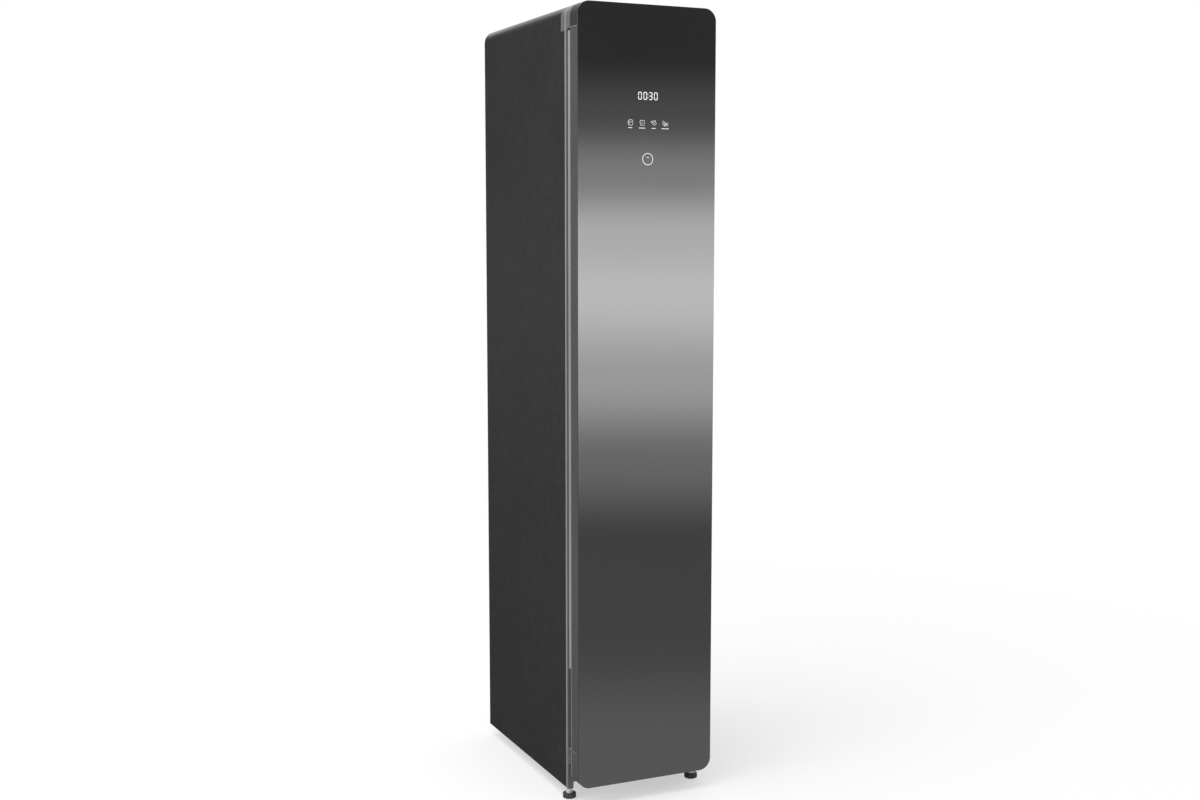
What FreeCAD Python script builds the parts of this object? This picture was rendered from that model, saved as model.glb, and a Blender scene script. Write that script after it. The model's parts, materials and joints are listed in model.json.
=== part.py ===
"""Clothes care steam cabinet: a narrow free-standing cabinet with one glass door hinged on the left.

Lengths are millimetres. +X is to the right seen from the front, +Z is up, and the front faces -Y.
The origin is on the floor, under the middle of the cabinet. Depths are written as s, the distance
behind the front face of the door glass.
"""
import FreeCAD, Part
import math
import os

Vec = FreeCAD.Vector

# ---- overall size ----
WIDTH = 348.0
DEPTH = 595.0
HEIGHT = 1850.0
CORNER_R = 29.0
SHEET = 1.0
TOUCH_GAP = 0.3
RUN_GAP = 0.05
TINY = 0.001
CUT_MARGIN = 1.0

# ---- door ----
DOOR_LOW = 46.0
DOOR_DEPTH = 40.0
GLASS = 4.0
PROFILE_W = 22.0
PROFILE_WALL = 2.0
PROFILE_GROOVE_S = 17.0
PROFILE_GROOVE_W = 9.0
PROFILE_GROOVE_D = 1.0
TOP_CAP_H = 52.5
BOTTOM_CAP_H = 80.0
CAP_WALL = 3.0
GRIP_S = 24.0
GRIP_W = 12.0
GRIP_D = 8.0
LINER_T = 2.0
LINER_INSET = 4.0
LINER_RIM_H = 5.0
GASKET_INSET = 5.0
GASKET_W = 12.0
GASKET_T = 13.0
GASKET_R = 14.0
GASKET_LOW = 322.0
GASKET_TOP_GAP = 1.2
RING_MIN_R = 1.0
PANEL_T = 3.0
PANEL_INSET = 34.0

# ---- door hinge ----
AXIS_IN = 9.0
AXIS_S = 22.0
ARM_T = 3.0
ARM_R = 8.5
FLANGE_T = 3.0
FLANGE_H = 36.0
FLANGE_W = 44.0
PIN_R = 4.0
PIN_L = 20.0
TOP_SCREW_SHARE = 0.65
LOW_SCREW_SHARES = (0.35, 0.8)
BLOCK_H = 30.0
COVER_WALL = 2.0
COVER_S = 43.0
COVER_BACK = 20.0
COVER_W = 46.0
COVER_DROP = 3.0

# ---- display ----
BOARD_W = 90.0
BOARD_T = 1.6
BOARD_H = 206.0
BOARD_ABOVE = 24.0
MODULE_W = 60.0
MODULE_H = 24.0
MODULE_T = 6.0
MODULE_DROP = 203.0

# ---- cabinet body ----
SKIRT_LOW = 28.0
FRAME_GAP = 20.0
FRAME_D = 14.0
POST_W = 18.0
POST_FOOT_W = 13.0
TOP_RAIL_H = 110.0
SILL_LOW = 316.0
SILL_TOP = 340.0
KICK_TOP = 62.0
RETURN_W = 12.0
BACK_INSET = 2.0
BASE_LOW = 44.0
BASE_T = 1.5
BASE_RIM = 15.0

# ---- steam chamber ----
FOAM_T = 15.0
WALL_T = 2.0
CHAMBER_FLOOR = 336.0
FLOOR_T = 6.0
CEILING_DROP = 108.0
REAR_FOAM_T = 30.0
REAR_RIBS = 5
LAMP_W = 120.0
LAMP_D = 16.0
LAMP_S = 96.0
LAMP_DROP = 3.0
LAMP_H = 9.0

# ---- shelf ----
SHELF_Z = 430.0
SHELF_T = 8.0
SHELF_SIDE_GAP = 3.0
SHELF_END_GAP = 14.0
SHELF_RIM = 14.0
SLAT_W = 10.0
SLAT_PITCH = 26.0
SLAT_INSET = 1.0
STUD_R = 5.0
STUD_L = 12.0
STUD_IN = 60.0

# ---- lint filter ----
FILTER_GAP = 32.0
FILTER_W = 200.0
FILTER_D = 24.0
FILTER_H = 46.0
FILTER_WALL = 3.0
FILTER_FLANGE = 6.0
FILTER_FLANGE_T = 3.0
FILTER_TAB_W = 40.0
FILTER_TAB_H = 16.0
MESH_T = 1.5

# ---- hanger drive ----
BAR_DROP = 52.0
BAR_R = 10.0
BAR_L = 256.0
BAR_AHEAD = 7.0
STROKE = 20.0
POST_R = 6.0
POST_X = 60.0
SLOT_GAP = 2.0
RAIL_R = 4.0
RAIL_RISE = 26.0
RAIL_SPREAD = 40.0
RAIL_L = 256.0
TOWER_W = 10.0
TOWER_CAP = 12.0
CARRIAGE_L = 170.0
CARRIAGE_RISE = 10.0
CARRIAGE_T = 5.0
BUSH_L = 24.0
BUSH_W = 18.0
BUSH_CAP = 10.0
GEAR_MODULE = 2.0
GEAR_TEETH = 12
GEAR_ANGLE = 25.0
GEAR_BACKLASH = 0.4
GEAR_T = 8.0
GEAR_ROOT = 1.25
GEAR_LIFT = 1.0
FLANK_STEPS = 6
RACK_BACK = 8.0
RACK_TEETH = 17
BRIDGE_W = 70.0
BRIDGE_T = 3.0
BRIDGE_CLEAR = 7.0
BRIDGE_HALF = 82.0
MOTOR_R = 26.0
MOTOR_H = 38.0
SHAFT_R = 3.0
SHAFT_CLEAR = 1.0
COLLAR_W = 16.0
COLLAR_R = 13.0
COLLAR_NECK_W = 9.0
HANGER_PITCH = 100.0
HANGER_COUNT = 3
HANGER_END_GAP = 53.0
HANGER_T = 8.0
HANGER_DROP = 95.0
HANGER_ARM = 16.0
HOOK_W = 5.0
HOOK_GAP = 0.3
NECK_H = 15.0

# ---- water tanks ----
TANK_FRONT_GAP = 4.0
TANK_W = 126.0
TANK_SHARE = 0.25
TANK_H = 186.0
TANK_WALL = 2.5
TANK_MID_GAP = 8.0
TANK_R = 10.0
LID_T = 5.0
LID_LIP = 6.0
LID_KNOB_R = 15.0
LID_KNOB_H = 4.0
TANK_GRIP_W = 70.0
TANK_GRIP_D = 12.0
TANK_GRIP_H = 12.0
BAY_FLOOR = 108.0
BAY_T = 4.0
BAY_WALL = 60.0
BAY_LEG = 10.0

# ---- machine space ----
FAN_X = 40.0
FAN_DUCT_GAP = 5.0
FAN_R = 75.0
FAN_WALL = 2.5
FAN_DECK = 108.0
FAN_DECK_T = 3.0
FAN_TOP = 170.0
FAN_INLET_R = 40.0
FAN_SHAFT_GAP = 3.0
ROTOR_R = 62.0
ROTOR_HUB_R = 12.0
ROTOR_EYE_R = 42.0
ROTOR_GAP = 6.0
ROTOR_H = 42.0
ROTOR_PLATE = 3.0
BLADE_COUNT = 18
BLADE_T = 2.0
BLADE_INSET = 1.0
MOTOR2_R = 34.0
OUTLET_W = 90.0
OUTLET_BACK_GAP = 40.0
RISER_D = 64.0
DUCT_BACK_GAP = 63.0
DUCT_SIDE = 112.0
DUCT_WALL = 2.0
GRILLE_SLOT = 5.0
GRILLE_PITCH = 10.0
HEATER_GAP = 18.0
HEATER_D = 30.0
HEATER_RIM = 3.0
FIN_T = 1.5
FIN_PITCH = 6.0
BOILER_X = -100.0
BOILER_BACK_GAP = 47.0
BOILER_R = 45.0
BOILER_H = 150.0
BOILER_DOME = 11.25
BOILER_FOOT_R = 31.5
BOILER_NECK = 8.0
HOSE_R = 6.0
HOSE_WALL = 1.5
NOZZLE_R = 18.0
NOZZLE_H = 10.0
NOZZLE_HOLE = 2.0
NOZZLE_HOLES = 6
PUMP_R = 20.0
PUMP_L = 60.0
PUMP_S = 150.0
PUMP_X = 70.0
PUMP_FOOT = 5.0
BOX_W = 100.0
BOX_D = 110.0
BOX_H = 50.0
BOX_X = 95.0
BOX_BACK_GAP = 37.0
INLET_X = 110.0
INLET_Z = 170.0
INLET_W = 48.0
INLET_H = 28.0
INLET_D = 22.0
INLET_RIM = 3.0
INLET_WALL = 3.0
BLADE_PITCH = 7.0
CONTACT_W = 2.0
CONTACT_H = 4.0
VENT_W = 120.0
VENT_LOW = 60.0
VENT_ROWS = 8

# ---- feet and rollers ----
FOOT_IN = 11.0
FOOT_S = 80.0
KNOB_R = 16.5
KNOB_H = 12.5
KNOB_CHAMFER = 3.0
KNOB_RIBS = 8
KNOB_GROOVE_R = 2.5
NECK_R = 6.7
STEM_R = 4.0
STEM_TOP = 64.0
NUT_FLATS = 13.0
NUT_H = 5.0
BOSS_R = 8.0
ROLLER_X = 120.0
ROLLER_BACK_GAP = 55.0
ROLLER_R = 18.0
ROLLER_W = 20.0
ROLLER_CHAMFER = 1.5
AXLE_R = 3.0
AXLE_END = 1.0
CHEEK_T = 2.0
CHEEK_GAP = 1.0
CHEEK_W = 24.0

# ---- screws ----
SCREW_R = 2.0
SCREW_HEAD_R = 3.5
SCREW_HEAD_T = 1.6
SCREW_L = 10.0
BACK_SCREW_ROWS = 5
BACK_SCREW_END = 60.0

# ---- places worked out from the sizes above ----
HALF_W = WIDTH / 2
LEFT = -HALF_W
INNER_HALF = HALF_W - SHEET
HINGE_SLOT = ARM_T + 2 * TOUCH_GAP
LOW_SLOT = DOOR_LOW + BOTTOM_CAP_H
PROFILE_LOW = LOW_SLOT + HINGE_SLOT
HIGH_SLOT = HEIGHT - TOP_CAP_H - HINGE_SLOT
LINER_BACK = DOOR_DEPTH + LINER_T
RIM_BACK = LINER_BACK + LINER_RIM_H
GASKET_BACK = RIM_BACK + GASKET_T - TOUCH_GAP
FRAME_S = DOOR_DEPTH + FRAME_GAP
BODY_S = FRAME_S + FRAME_D
AXIS_X = LEFT + AXIS_IN
OPENING_HALF = HALF_W - POST_W
TOP_RAIL_LOW = HEIGHT - TOP_RAIL_H
SHOULDER_Z = HEIGHT - CORNER_R
BACK_S = DEPTH - BACK_INSET
PANEL_BACK_S = BACK_S - SHEET
COVER_END = BODY_S + COVER_BACK
COVER_LOW = HIGH_SLOT + TOUCH_GAP - COVER_DROP
CHAMBER_HALF = INNER_HALF - FOAM_T - WALL_T
LINER_HALF = INNER_HALF - FOAM_T
REAR_WALL_S = PANEL_BACK_S - REAR_FOAM_T - WALL_T
BASE_TOP = BASE_LOW + BASE_T
FLOOR_LOW = CHAMBER_FLOOR - FLOOR_T
CEILING_Z = HEIGHT - CEILING_DROP
GASKET_TOP = COVER_LOW - GASKET_TOP_GAP
MODULE_Z = HEIGHT - MODULE_DROP
BOARD_TOP = MODULE_Z + BOARD_ABOVE
BOARD_LOW = BOARD_TOP - BOARD_H
BAR_Z = CEILING_Z - BAR_DROP
BAR_S = (BODY_S + REAR_WALL_S) / 2 - BAR_AHEAD
HANGER_SPAN = REAR_WALL_S - BODY_S - 2 * HANGER_END_GAP
RAIL_Z = CEILING_Z + RAIL_RISE
TOWER_TOP = RAIL_Z + TOWER_CAP
CARRIAGE_LOW = CEILING_Z + CARRIAGE_RISE
BUSH_TOP = RAIL_Z + BUSH_CAP
BRIDGE_TOP = BUSH_TOP + BRIDGE_CLEAR + BRIDGE_T
PITCH_R = GEAR_MODULE * GEAR_TEETH / 2
ROOT_DEPTH = GEAR_MODULE * GEAR_ROOT
GEAR_S = BAR_S + PITCH_R
GEAR_LOW = CARRIAGE_LOW + CARRIAGE_T + GEAR_LIFT
TANK_S = BODY_S + TANK_FRONT_GAP
TANK_D = (DEPTH - BODY_S) * TANK_SHARE
FILTER_S = TANK_S + TANK_D + FILTER_GAP
OUTLET_END = PANEL_BACK_S - OUTLET_BACK_GAP
OUTLET_RISE = OUTLET_END - RISER_D
DUCT_END = OUTLET_RISE - DUCT_BACK_GAP
HEATER_S = OUTLET_RISE - HEATER_GAP - HEATER_D
FAN_S = DUCT_END - FAN_DUCT_GAP - FAN_R
BOILER_S = PANEL_BACK_S - BOILER_BACK_GAP - BOILER_R
BOX_S = PANEL_BACK_S - BOX_BACK_GAP - BOX_D / 2
ROLLER_S = DEPTH - ROLLER_BACK_GAP


def box(x0, x1, s0, s1, z0, z1):
    """Block between two corners, with the depths given from the door's front face."""
    return Part.makeBox(x1 - x0, s1 - s0, z1 - z0, Vec(x0, s0 - DEPTH / 2, z0))


def rod(axis, radius, length, x, s, z):
    """Cylinder of the given length that starts at the given place and runs along +axis."""
    directions = {"x": Vec(1, 0, 0), "y": Vec(0, 1, 0), "z": Vec(0, 0, 1)}
    return Part.makeCylinder(radius, length, Vec(x, s - DEPTH / 2, z), directions[axis])


def front_slab(half, z0, z1, low_r, high_r, s0, s1):
    """Slab with the front outline of the cabinet: straight sides and round corners."""
    y0 = s0 - DEPTH / 2
    stops = []
    edges = []
    corners = ((-1, z0, 1, low_r), (1, z0, 1, low_r), (1, z1, -1, high_r), (-1, z1, -1, high_r))
    for x_sign, z, up, radius in corners:
        centre = Vec(x_sign * (half - radius), y0, z + up * radius)
        on_side = centre + Vec(x_sign * radius, 0, 0)
        on_end = centre - Vec(0, 0, up * radius)
        enter, leave = (on_side, on_end) if x_sign == -up else (on_end, on_side)
        if radius > 0:
            corner = centre + Vec(x_sign, 0, -up) * (radius / math.sqrt(2))
            edges.append(Part.Arc(enter, corner, leave).toShape())
        stops.append((enter, leave))
    for index, (enter, leave) in enumerate(stops):
        following = stops[(index + 1) % len(stops)][0]
        if (following - leave).Length > TINY:
            edges.append(Part.makeLine(leave, following))
    face = Part.Face(Part.Wire(Part.__sortEdges__(edges)))
    return face.extrude(Vec(0, s1 - s0, 0))


def ring(half, z0, z1, radius, width, s0, s1):
    """Rectangular ring with round corners, lying in the plane of the door."""
    outer = front_slab(half, z0, z1, radius, radius, s0, s1)
    inner_r = max(radius - width, RING_MIN_R)
    return outer.cut(front_slab(half - width, z0 + width, z1 - width, inner_r, inner_r, s0, s1))


def plan_shape(points, z0, z1):
    """Prism with a plan outline of (x, s) points."""
    corners = [Vec(x, s - DEPTH / 2, z0) for x, s in points]
    return Part.Face(Part.makePolygon(corners + corners[:1])).extrude(Vec(0, 0, z1 - z0))


def union(shapes):
    """One clean solid from shapes that overlap or touch."""
    first, rest = shapes[0], shapes[1:]
    return first.fuse(rest).removeSplitter() if rest else first


def hollow_box(x0, x1, s0, s1, z0, z1, wall):
    """Four upright walls, open above and below."""
    return box(x0, x1, s0, s1, z0, z1).cut(box(x0 + wall, x1 - wall, s0 + wall, s1 - wall, z0, z1))


def save(node, solids):
    """Write one node, which is one solid or a group of separate solids."""
    group = list(solids) if isinstance(solids, (list, tuple)) else [solids]
    pieces = [solid for shape in group for solid in shape.Solids]
    shape = pieces[0] if len(pieces) == 1 else Part.makeCompound(pieces)
    shape.exportStep("parts/%s.step" % node)


# ---------------------------------------------------------------- door

def door_glass():
    """Tinted mirror glass that covers the whole front."""
    return front_slab(HALF_W, DOOR_LOW, HEIGHT, CORNER_R, CORNER_R, 0, GLASS)


def door_left_profile():
    """Hollow upright on the hinge side, with a shallow groove along its outer face."""
    tube = box(LEFT, LEFT + PROFILE_W, GLASS, DOOR_DEPTH, PROFILE_LOW, HIGH_SLOT)
    hollow = box(LEFT + PROFILE_WALL, LEFT + PROFILE_W - PROFILE_WALL, GLASS + PROFILE_WALL,
                 DOOR_DEPTH - PROFILE_WALL, PROFILE_LOW, HIGH_SLOT)
    groove = box(LEFT, LEFT + PROFILE_GROOVE_D, PROFILE_GROOVE_S, PROFILE_GROOVE_S + PROFILE_GROOVE_W,
                 PROFILE_LOW, HIGH_SLOT)
    return tube.cut(hollow).cut(groove)


def door_right_profile():
    """Upright on the opening side: an inner bar and two outer strips, with the finger groove between the strips."""
    groove_x = HALF_W - GRIP_D
    z0 = LOW_SLOT
    z1 = HIGH_SLOT + HINGE_SLOT
    bar = box(HALF_W - PROFILE_W, groove_x, GLASS, DOOR_DEPTH, z0, z1)
    front_strip = box(groove_x, HALF_W, GLASS, GRIP_S, z0, z1)
    rear_strip = box(groove_x, HALF_W, GRIP_S + GRIP_W, DOOR_DEPTH, z0, z1)
    return [bar, front_strip, rear_strip]


def door_cap(z0, z1, low_r, high_r):
    """End cap of the door: a shell with the door's outline, open at the back and towards the core."""
    shell = front_slab(HALF_W, z0, z1, low_r, high_r, GLASS, DOOR_DEPTH)
    inner_low = z0 + CAP_WALL if low_r else z0
    inner_high = z1 - CAP_WALL if high_r else z1
    inner = front_slab(HALF_W - CAP_WALL, inner_low, inner_high, max(low_r - CAP_WALL, 0),
                       max(high_r - CAP_WALL, 0), GLASS + CAP_WALL, DOOR_DEPTH)
    return shell.cut(inner)


def display_pocket():
    """Space in the core for the display board."""
    return box(-BOARD_W / 2 - TOUCH_GAP, BOARD_W / 2 + TOUCH_GAP, GLASS,
               GLASS + MODULE_T + BOARD_T + TOUCH_GAP, BOARD_LOW, BOARD_TOP)


def door_core():
    """Foam that fills the door between its uprights and inside its caps."""
    middle = box(LEFT + PROFILE_W, HALF_W - PROFILE_W, GLASS, DOOR_DEPTH, LOW_SLOT, HIGH_SLOT + HINGE_SLOT)
    inner = CORNER_R - CAP_WALL
    low = front_slab(HALF_W - CAP_WALL, DOOR_LOW + CAP_WALL, LOW_SLOT, inner, 0, GLASS + CAP_WALL, DOOR_DEPTH)
    high = front_slab(HALF_W - CAP_WALL, HIGH_SLOT + HINGE_SLOT, HEIGHT - CAP_WALL, 0, inner,
                      GLASS + CAP_WALL, DOOR_DEPTH)
    return union([middle, low, high]).cut(display_pocket())


def door_liner():
    """Moulded inner skin of the door, with the rim that carries the gasket and a raised field."""
    inset_r = CORNER_R - LINER_INSET
    skin = front_slab(HALF_W - LINER_INSET, DOOR_LOW + LINER_INSET, HEIGHT - LINER_INSET,
                      inset_r, inset_r, DOOR_DEPTH, LINER_BACK)
    rim = ring(HALF_W - GASKET_INSET, GASKET_LOW, GASKET_TOP, GASKET_R, GASKET_W, LINER_BACK, RIM_BACK)
    field = front_slab(HALF_W - PANEL_INSET, GASKET_LOW + PANEL_INSET, GASKET_TOP - PANEL_INSET,
                       GASKET_R, GASKET_R, LINER_BACK, LINER_BACK + PANEL_T)
    liner = union([skin, rim, field])
    for z0 in (LOW_SLOT, HIGH_SLOT):
        liner = liner.cut(box(LEFT, LEFT + PROFILE_W, DOOR_DEPTH, RIM_BACK, z0, z0 + HINGE_SLOT))
    return liner


def door_gasket():
    """Magnetic seal ring around the chamber opening."""
    return ring(HALF_W - GASKET_INSET, GASKET_LOW, GASKET_TOP, GASKET_R, GASKET_W, RIM_BACK, GASKET_BACK)


def display_board():
    """Circuit board behind the glass, with the light module of the clock."""
    board = box(-BOARD_W / 2, BOARD_W / 2, GLASS + MODULE_T, GLASS + MODULE_T + BOARD_T, BOARD_LOW, BOARD_TOP)
    module = box(-MODULE_W / 2, MODULE_W / 2, GLASS, GLASS + MODULE_T,
                 MODULE_Z - MODULE_H / 2, MODULE_Z + MODULE_H / 2)
    return union([board, module])


def hinge_bushes():
    """Bearing blocks in the ends of the left upright, each with a bore for its pin."""
    blocks = []
    for z0 in (PROFILE_LOW, HIGH_SLOT - BLOCK_H):
        block = box(LEFT + PROFILE_WALL, LEFT + PROFILE_W - PROFILE_WALL, GLASS + PROFILE_WALL,
                    DOOR_DEPTH - PROFILE_WALL, z0, z0 + BLOCK_H)
        blocks.append(block.cut(rod("z", PIN_R + RUN_GAP, BLOCK_H, AXIS_X, AXIS_S, z0)))
    return blocks


# ---------------------------------------------------------------- hinge parts on the cabinet

def hinge_arm(z0):
    """Flat arm from the front frame to the hinge axis, round at its end."""
    bar = box(AXIS_X - ARM_R, AXIS_X + ARM_R, AXIS_S, FRAME_S, z0, z0 + ARM_T)
    end = rod("z", ARM_R, ARM_T, AXIS_X, AXIS_S, z0)
    bore = rod("z", PIN_R, ARM_T, AXIS_X, AXIS_S, z0)
    return union([bar, end]).cut(bore)


def flange_screws(top):
    """Places of the screws in a hinge flange, as (x, z)."""
    if top:
        z = HIGH_SLOT + TOUCH_GAP + FLANGE_H * TOP_SCREW_SHARE
        return [(LEFT + FLANGE_W / 2, z), (LEFT + FLANGE_W - SCREW_HEAD_R * 2, z)]
    z = LOW_SLOT + TOUCH_GAP
    return [(AXIS_X, z - FLANGE_H * share) for share in LOW_SCREW_SHARES]


def drill_front(shape, places):
    """Clearance holes along the depth at each (x, z)."""
    for x, z in places:
        shape = shape.cut(rod("y", SCREW_R, FRAME_D, x, FRAME_S - FLANGE_T, z))
    return shape


def top_hinge():
    """Upper hinge bracket: the arm and a flange on the front frame, under the hinge cover."""
    z0 = HIGH_SLOT + TOUCH_GAP
    root = box(AXIS_X, LEFT + FLANGE_W, FRAME_S - FLANGE_T * 2, FRAME_S, z0, z0 + ARM_T)
    flange = box(LEFT + POST_W - COVER_WALL * 2, LEFT + FLANGE_W, FRAME_S - FLANGE_T, FRAME_S,
                 z0, z0 + FLANGE_H)
    return drill_front(union([hinge_arm(z0), root, flange]), flange_screws(True))


def bottom_hinge():
    """Lower hinge bracket, which carries the weight of the door."""
    z0 = LOW_SLOT + TOUCH_GAP
    flange = box(AXIS_X - ARM_R, AXIS_X + ARM_R, FRAME_S - FLANGE_T, FRAME_S, z0 - FLANGE_H, z0 + ARM_T)
    return drill_front(union([hinge_arm(z0), flange]), flange_screws(False))


def hinge_pins():
    """Steel pins riveted in the two arms."""
    low = rod("z", PIN_R, ARM_T + PIN_L, AXIS_X, AXIS_S, LOW_SLOT + TOUCH_GAP)
    high = rod("z", PIN_R, ARM_T + PIN_L, AXIS_X, AXIS_S, HIGH_SLOT + TOUCH_GAP - PIN_L)
    return [low, high]


def cover_block(inset, s0, s1, z0):
    """Left end of the cabinet's round top, from s0 to s1, set in by a wall."""
    whole = front_slab(HALF_W - inset, z0, HEIGHT - inset, 0, CORNER_R - inset, s0, s1)
    return whole.common(box(LEFT, LEFT + COVER_W - inset, s0, s1, z0, HEIGHT))


def hinge_cover():
    """Moulded cover over the upper hinge; it follows the round top corner of the cabinet."""
    shell = cover_block(0, COVER_S, COVER_END, COVER_LOW)
    front_space = cover_block(COVER_WALL, COVER_S + COVER_WALL, FRAME_S, COVER_LOW)
    shell = shell.cut(front_space)
    shell = shell.cut(front_frame_solid())
    shell = shell.cut(cover_block(SHEET, BODY_S, COVER_END, COVER_LOW))
    arm_way = box(LEFT, LEFT + FLANGE_W + TOUCH_GAP, COVER_S, FRAME_S, COVER_LOW,
                  HIGH_SLOT + TOUCH_GAP + ARM_T + TOUCH_GAP)
    shell = shell.cut(arm_way)
    return max(shell.Solids, key=lambda solid: solid.Volume)


# ---------------------------------------------------------------- cabinet body

def front_frame_solid():
    """Moulded frame around the two openings, set in where the hinge cover wraps it."""
    frame = front_slab(HALF_W, SKIRT_LOW, HEIGHT, 0, CORNER_R, FRAME_S, BODY_S)
    chamber = box(-OPENING_HALF, OPENING_HALF, FRAME_S, BODY_S, SILL_TOP, TOP_RAIL_LOW)
    tanks = box(-OPENING_HALF, OPENING_HALF, FRAME_S, BODY_S, KICK_TOP, SILL_LOW)
    foot_half = HALF_W - POST_FOOT_W
    foot_space = box(-foot_half, foot_half, FRAME_S, BODY_S, SKIRT_LOW, BASE_LOW)
    seat = cover_block(0, FRAME_S, BODY_S, COVER_LOW).cut(cover_block(SHEET, FRAME_S, BODY_S, COVER_LOW))
    return frame.cut(chamber).cut(tanks).cut(foot_space).cut(seat)


def front_frame():
    """The front frame with its screw holes."""
    frame = front_frame_solid()
    for x, z in flange_screws(True) + flange_screws(False):
        frame = frame.cut(rod("y", SCREW_R, SCREW_L, x, FRAME_S, z))
    return frame


def side_panel(side):
    """Painted sheet with a folded return at its front and back edges."""
    sheet = box(LEFT, -INNER_HALF, BODY_S, DEPTH, SKIRT_LOW, SHOULDER_Z)
    front = box(-INNER_HALF, -INNER_HALF + RETURN_W, BODY_S, BODY_S + SHEET, BASE_TOP + BASE_RIM, SHOULDER_Z)
    rear = box(-INNER_HALF, -INNER_HALF + RETURN_W, PANEL_BACK_S - SHEET, PANEL_BACK_S,
               BASE_TOP + BASE_RIM, SHOULDER_Z)
    panel = union([sheet, front, rear])
    for z in back_screw_heights():
        panel = panel.cut(rod("y", SCREW_R, SHEET, back_screw_x(-1), PANEL_BACK_S - SHEET, z))
    if side > 0:
        return panel.mirror(Vec(0, 0, 0), Vec(1, 0, 0))
    return panel.cut(box(LEFT, -INNER_HALF, BODY_S, COVER_END, COVER_LOW, SHOULDER_Z))


def top_cover():
    """Painted sheet bent over both top edges, notched for the hinge cover."""
    outer = front_slab(HALF_W, SHOULDER_Z, HEIGHT, 0, CORNER_R, BODY_S, DEPTH)
    inner = front_slab(INNER_HALF, SHOULDER_Z, HEIGHT - SHEET, 0, CORNER_R - SHEET, BODY_S, DEPTH)
    notch = box(LEFT, LEFT + COVER_W, BODY_S, COVER_END, SHOULDER_Z, HEIGHT)
    return outer.cut(inner).cut(notch)


def back_screw_heights():
    """Heights of the screws along each upright edge of the back panel."""
    low = SKIRT_LOW + BACK_SCREW_END
    step = (SHOULDER_Z - BACK_SCREW_END - low) / (BACK_SCREW_ROWS - 1)
    return [low + step * row for row in range(BACK_SCREW_ROWS)]


def back_screw_x(side):
    """Place of a back screw across the width."""
    return side * (INNER_HALF - RETURN_W / 2)


def back_panel():
    """Galvanised sheet with vent slots and a cut-out for the power inlet."""
    panel = front_slab(INNER_HALF, SKIRT_LOW, HEIGHT - SHEET, 0, CORNER_R - SHEET, PANEL_BACK_S, BACK_S)
    for side in (-1, 1):
        for z in back_screw_heights():
            panel = panel.cut(rod("y", SCREW_R, SHEET, back_screw_x(side), PANEL_BACK_S, z))
    for row in range(VENT_ROWS):
        z = VENT_LOW + row * GRILLE_PITCH
        panel = panel.cut(box(-VENT_W - INLET_RIM, -INLET_RIM, PANEL_BACK_S, BACK_S, z, z + GRILLE_SLOT))
    inlet = box(INLET_X - INLET_W / 2, INLET_X + INLET_W / 2, PANEL_BACK_S, BACK_S,
                INLET_Z - INLET_H / 2, INLET_Z + INLET_H / 2)
    return panel.cut(inlet)


def power_inlet():
    """Recessed socket for a mains lead, with its three contact blades."""
    rim = box(INLET_X - INLET_W / 2 - INLET_RIM, INLET_X + INLET_W / 2 + INLET_RIM, BACK_S, DEPTH,
              INLET_Z - INLET_H / 2 - INLET_RIM, INLET_Z + INLET_H / 2 + INLET_RIM)
    body = box(INLET_X - INLET_W / 2, INLET_X + INLET_W / 2, DEPTH - INLET_D, BACK_S,
               INLET_Z - INLET_H / 2, INLET_Z + INLET_H / 2)
    space = box(INLET_X - INLET_W / 2 + INLET_WALL, INLET_X + INLET_W / 2 - INLET_WALL,
                DEPTH - INLET_D + INLET_WALL, DEPTH,
                INLET_Z - INLET_H / 2 + INLET_WALL, INLET_Z + INLET_H / 2 - INLET_WALL)
    socket = union([rim, body]).cut(space)
    blades = []
    for offset in (-BLADE_PITCH, 0, BLADE_PITCH):
        x = INLET_X + offset
        blades.append(box(x - CONTACT_W / 2, x + CONTACT_W / 2, DEPTH - INLET_D, DEPTH - INLET_WALL,
                          INLET_Z - CONTACT_H / 2, INLET_Z + CONTACT_H / 2))
    return union([socket] + blades)


def foot_places():
    """Plan places of the two levelling feet, as (x, s)."""
    return [(side * (HALF_W - FOOT_IN), FOOT_S) for side in (-1, 1)]


def roller_places():
    """Plan places of the two rear rollers, as (x, s)."""
    return [(side * ROLLER_X, ROLLER_S) for side in (-1, 1)]


def base_plate():
    """Galvanised tray that closes the cabinet below, with threaded bosses for the feet."""
    plate = box(-INNER_HALF, INNER_HALF, BODY_S, PANEL_BACK_S, BASE_LOW, BASE_TOP)
    rim = hollow_box(-INNER_HALF, INNER_HALF, BODY_S, PANEL_BACK_S, BASE_TOP, BASE_TOP + BASE_RIM, SHEET)
    bosses = [rod("z", BOSS_R, BASE_LOW - SKIRT_LOW, x, s, SKIRT_LOW) for x, s in foot_places()]
    tray = union([plate, rim] + bosses)
    for x, s in foot_places():
        tray = tray.cut(rod("z", STEM_R + RUN_GAP, STEM_TOP, x, s, 0))
    return tray.common(box(-INNER_HALF, INNER_HALF, BODY_S, DEPTH, 0, STEM_TOP + BASE_RIM))


def insulation_slab(side):
    """Foam between a side panel and the chamber wall."""
    slab = box(-INNER_HALF, -LINER_HALF, BODY_S + SHEET, PANEL_BACK_S - SHEET, FLOOR_LOW, CEILING_Z)
    for z in back_screw_heights():
        slab = slab.cut(rod("y", SCREW_HEAD_R, SCREW_L, back_screw_x(-1), BACK_S - SCREW_L - TOUCH_GAP, z))
    return slab if side < 0 else slab.mirror(Vec(0, 0, 0), Vec(1, 0, 0))


def rear_insulation():
    """Foam between the rear wall of the chamber and the back panel."""
    return box(-LINER_HALF, LINER_HALF, REAR_WALL_S + WALL_T, PANEL_BACK_S, FLOOR_LOW, CEILING_Z)


# ---------------------------------------------------------------- steam chamber

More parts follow.
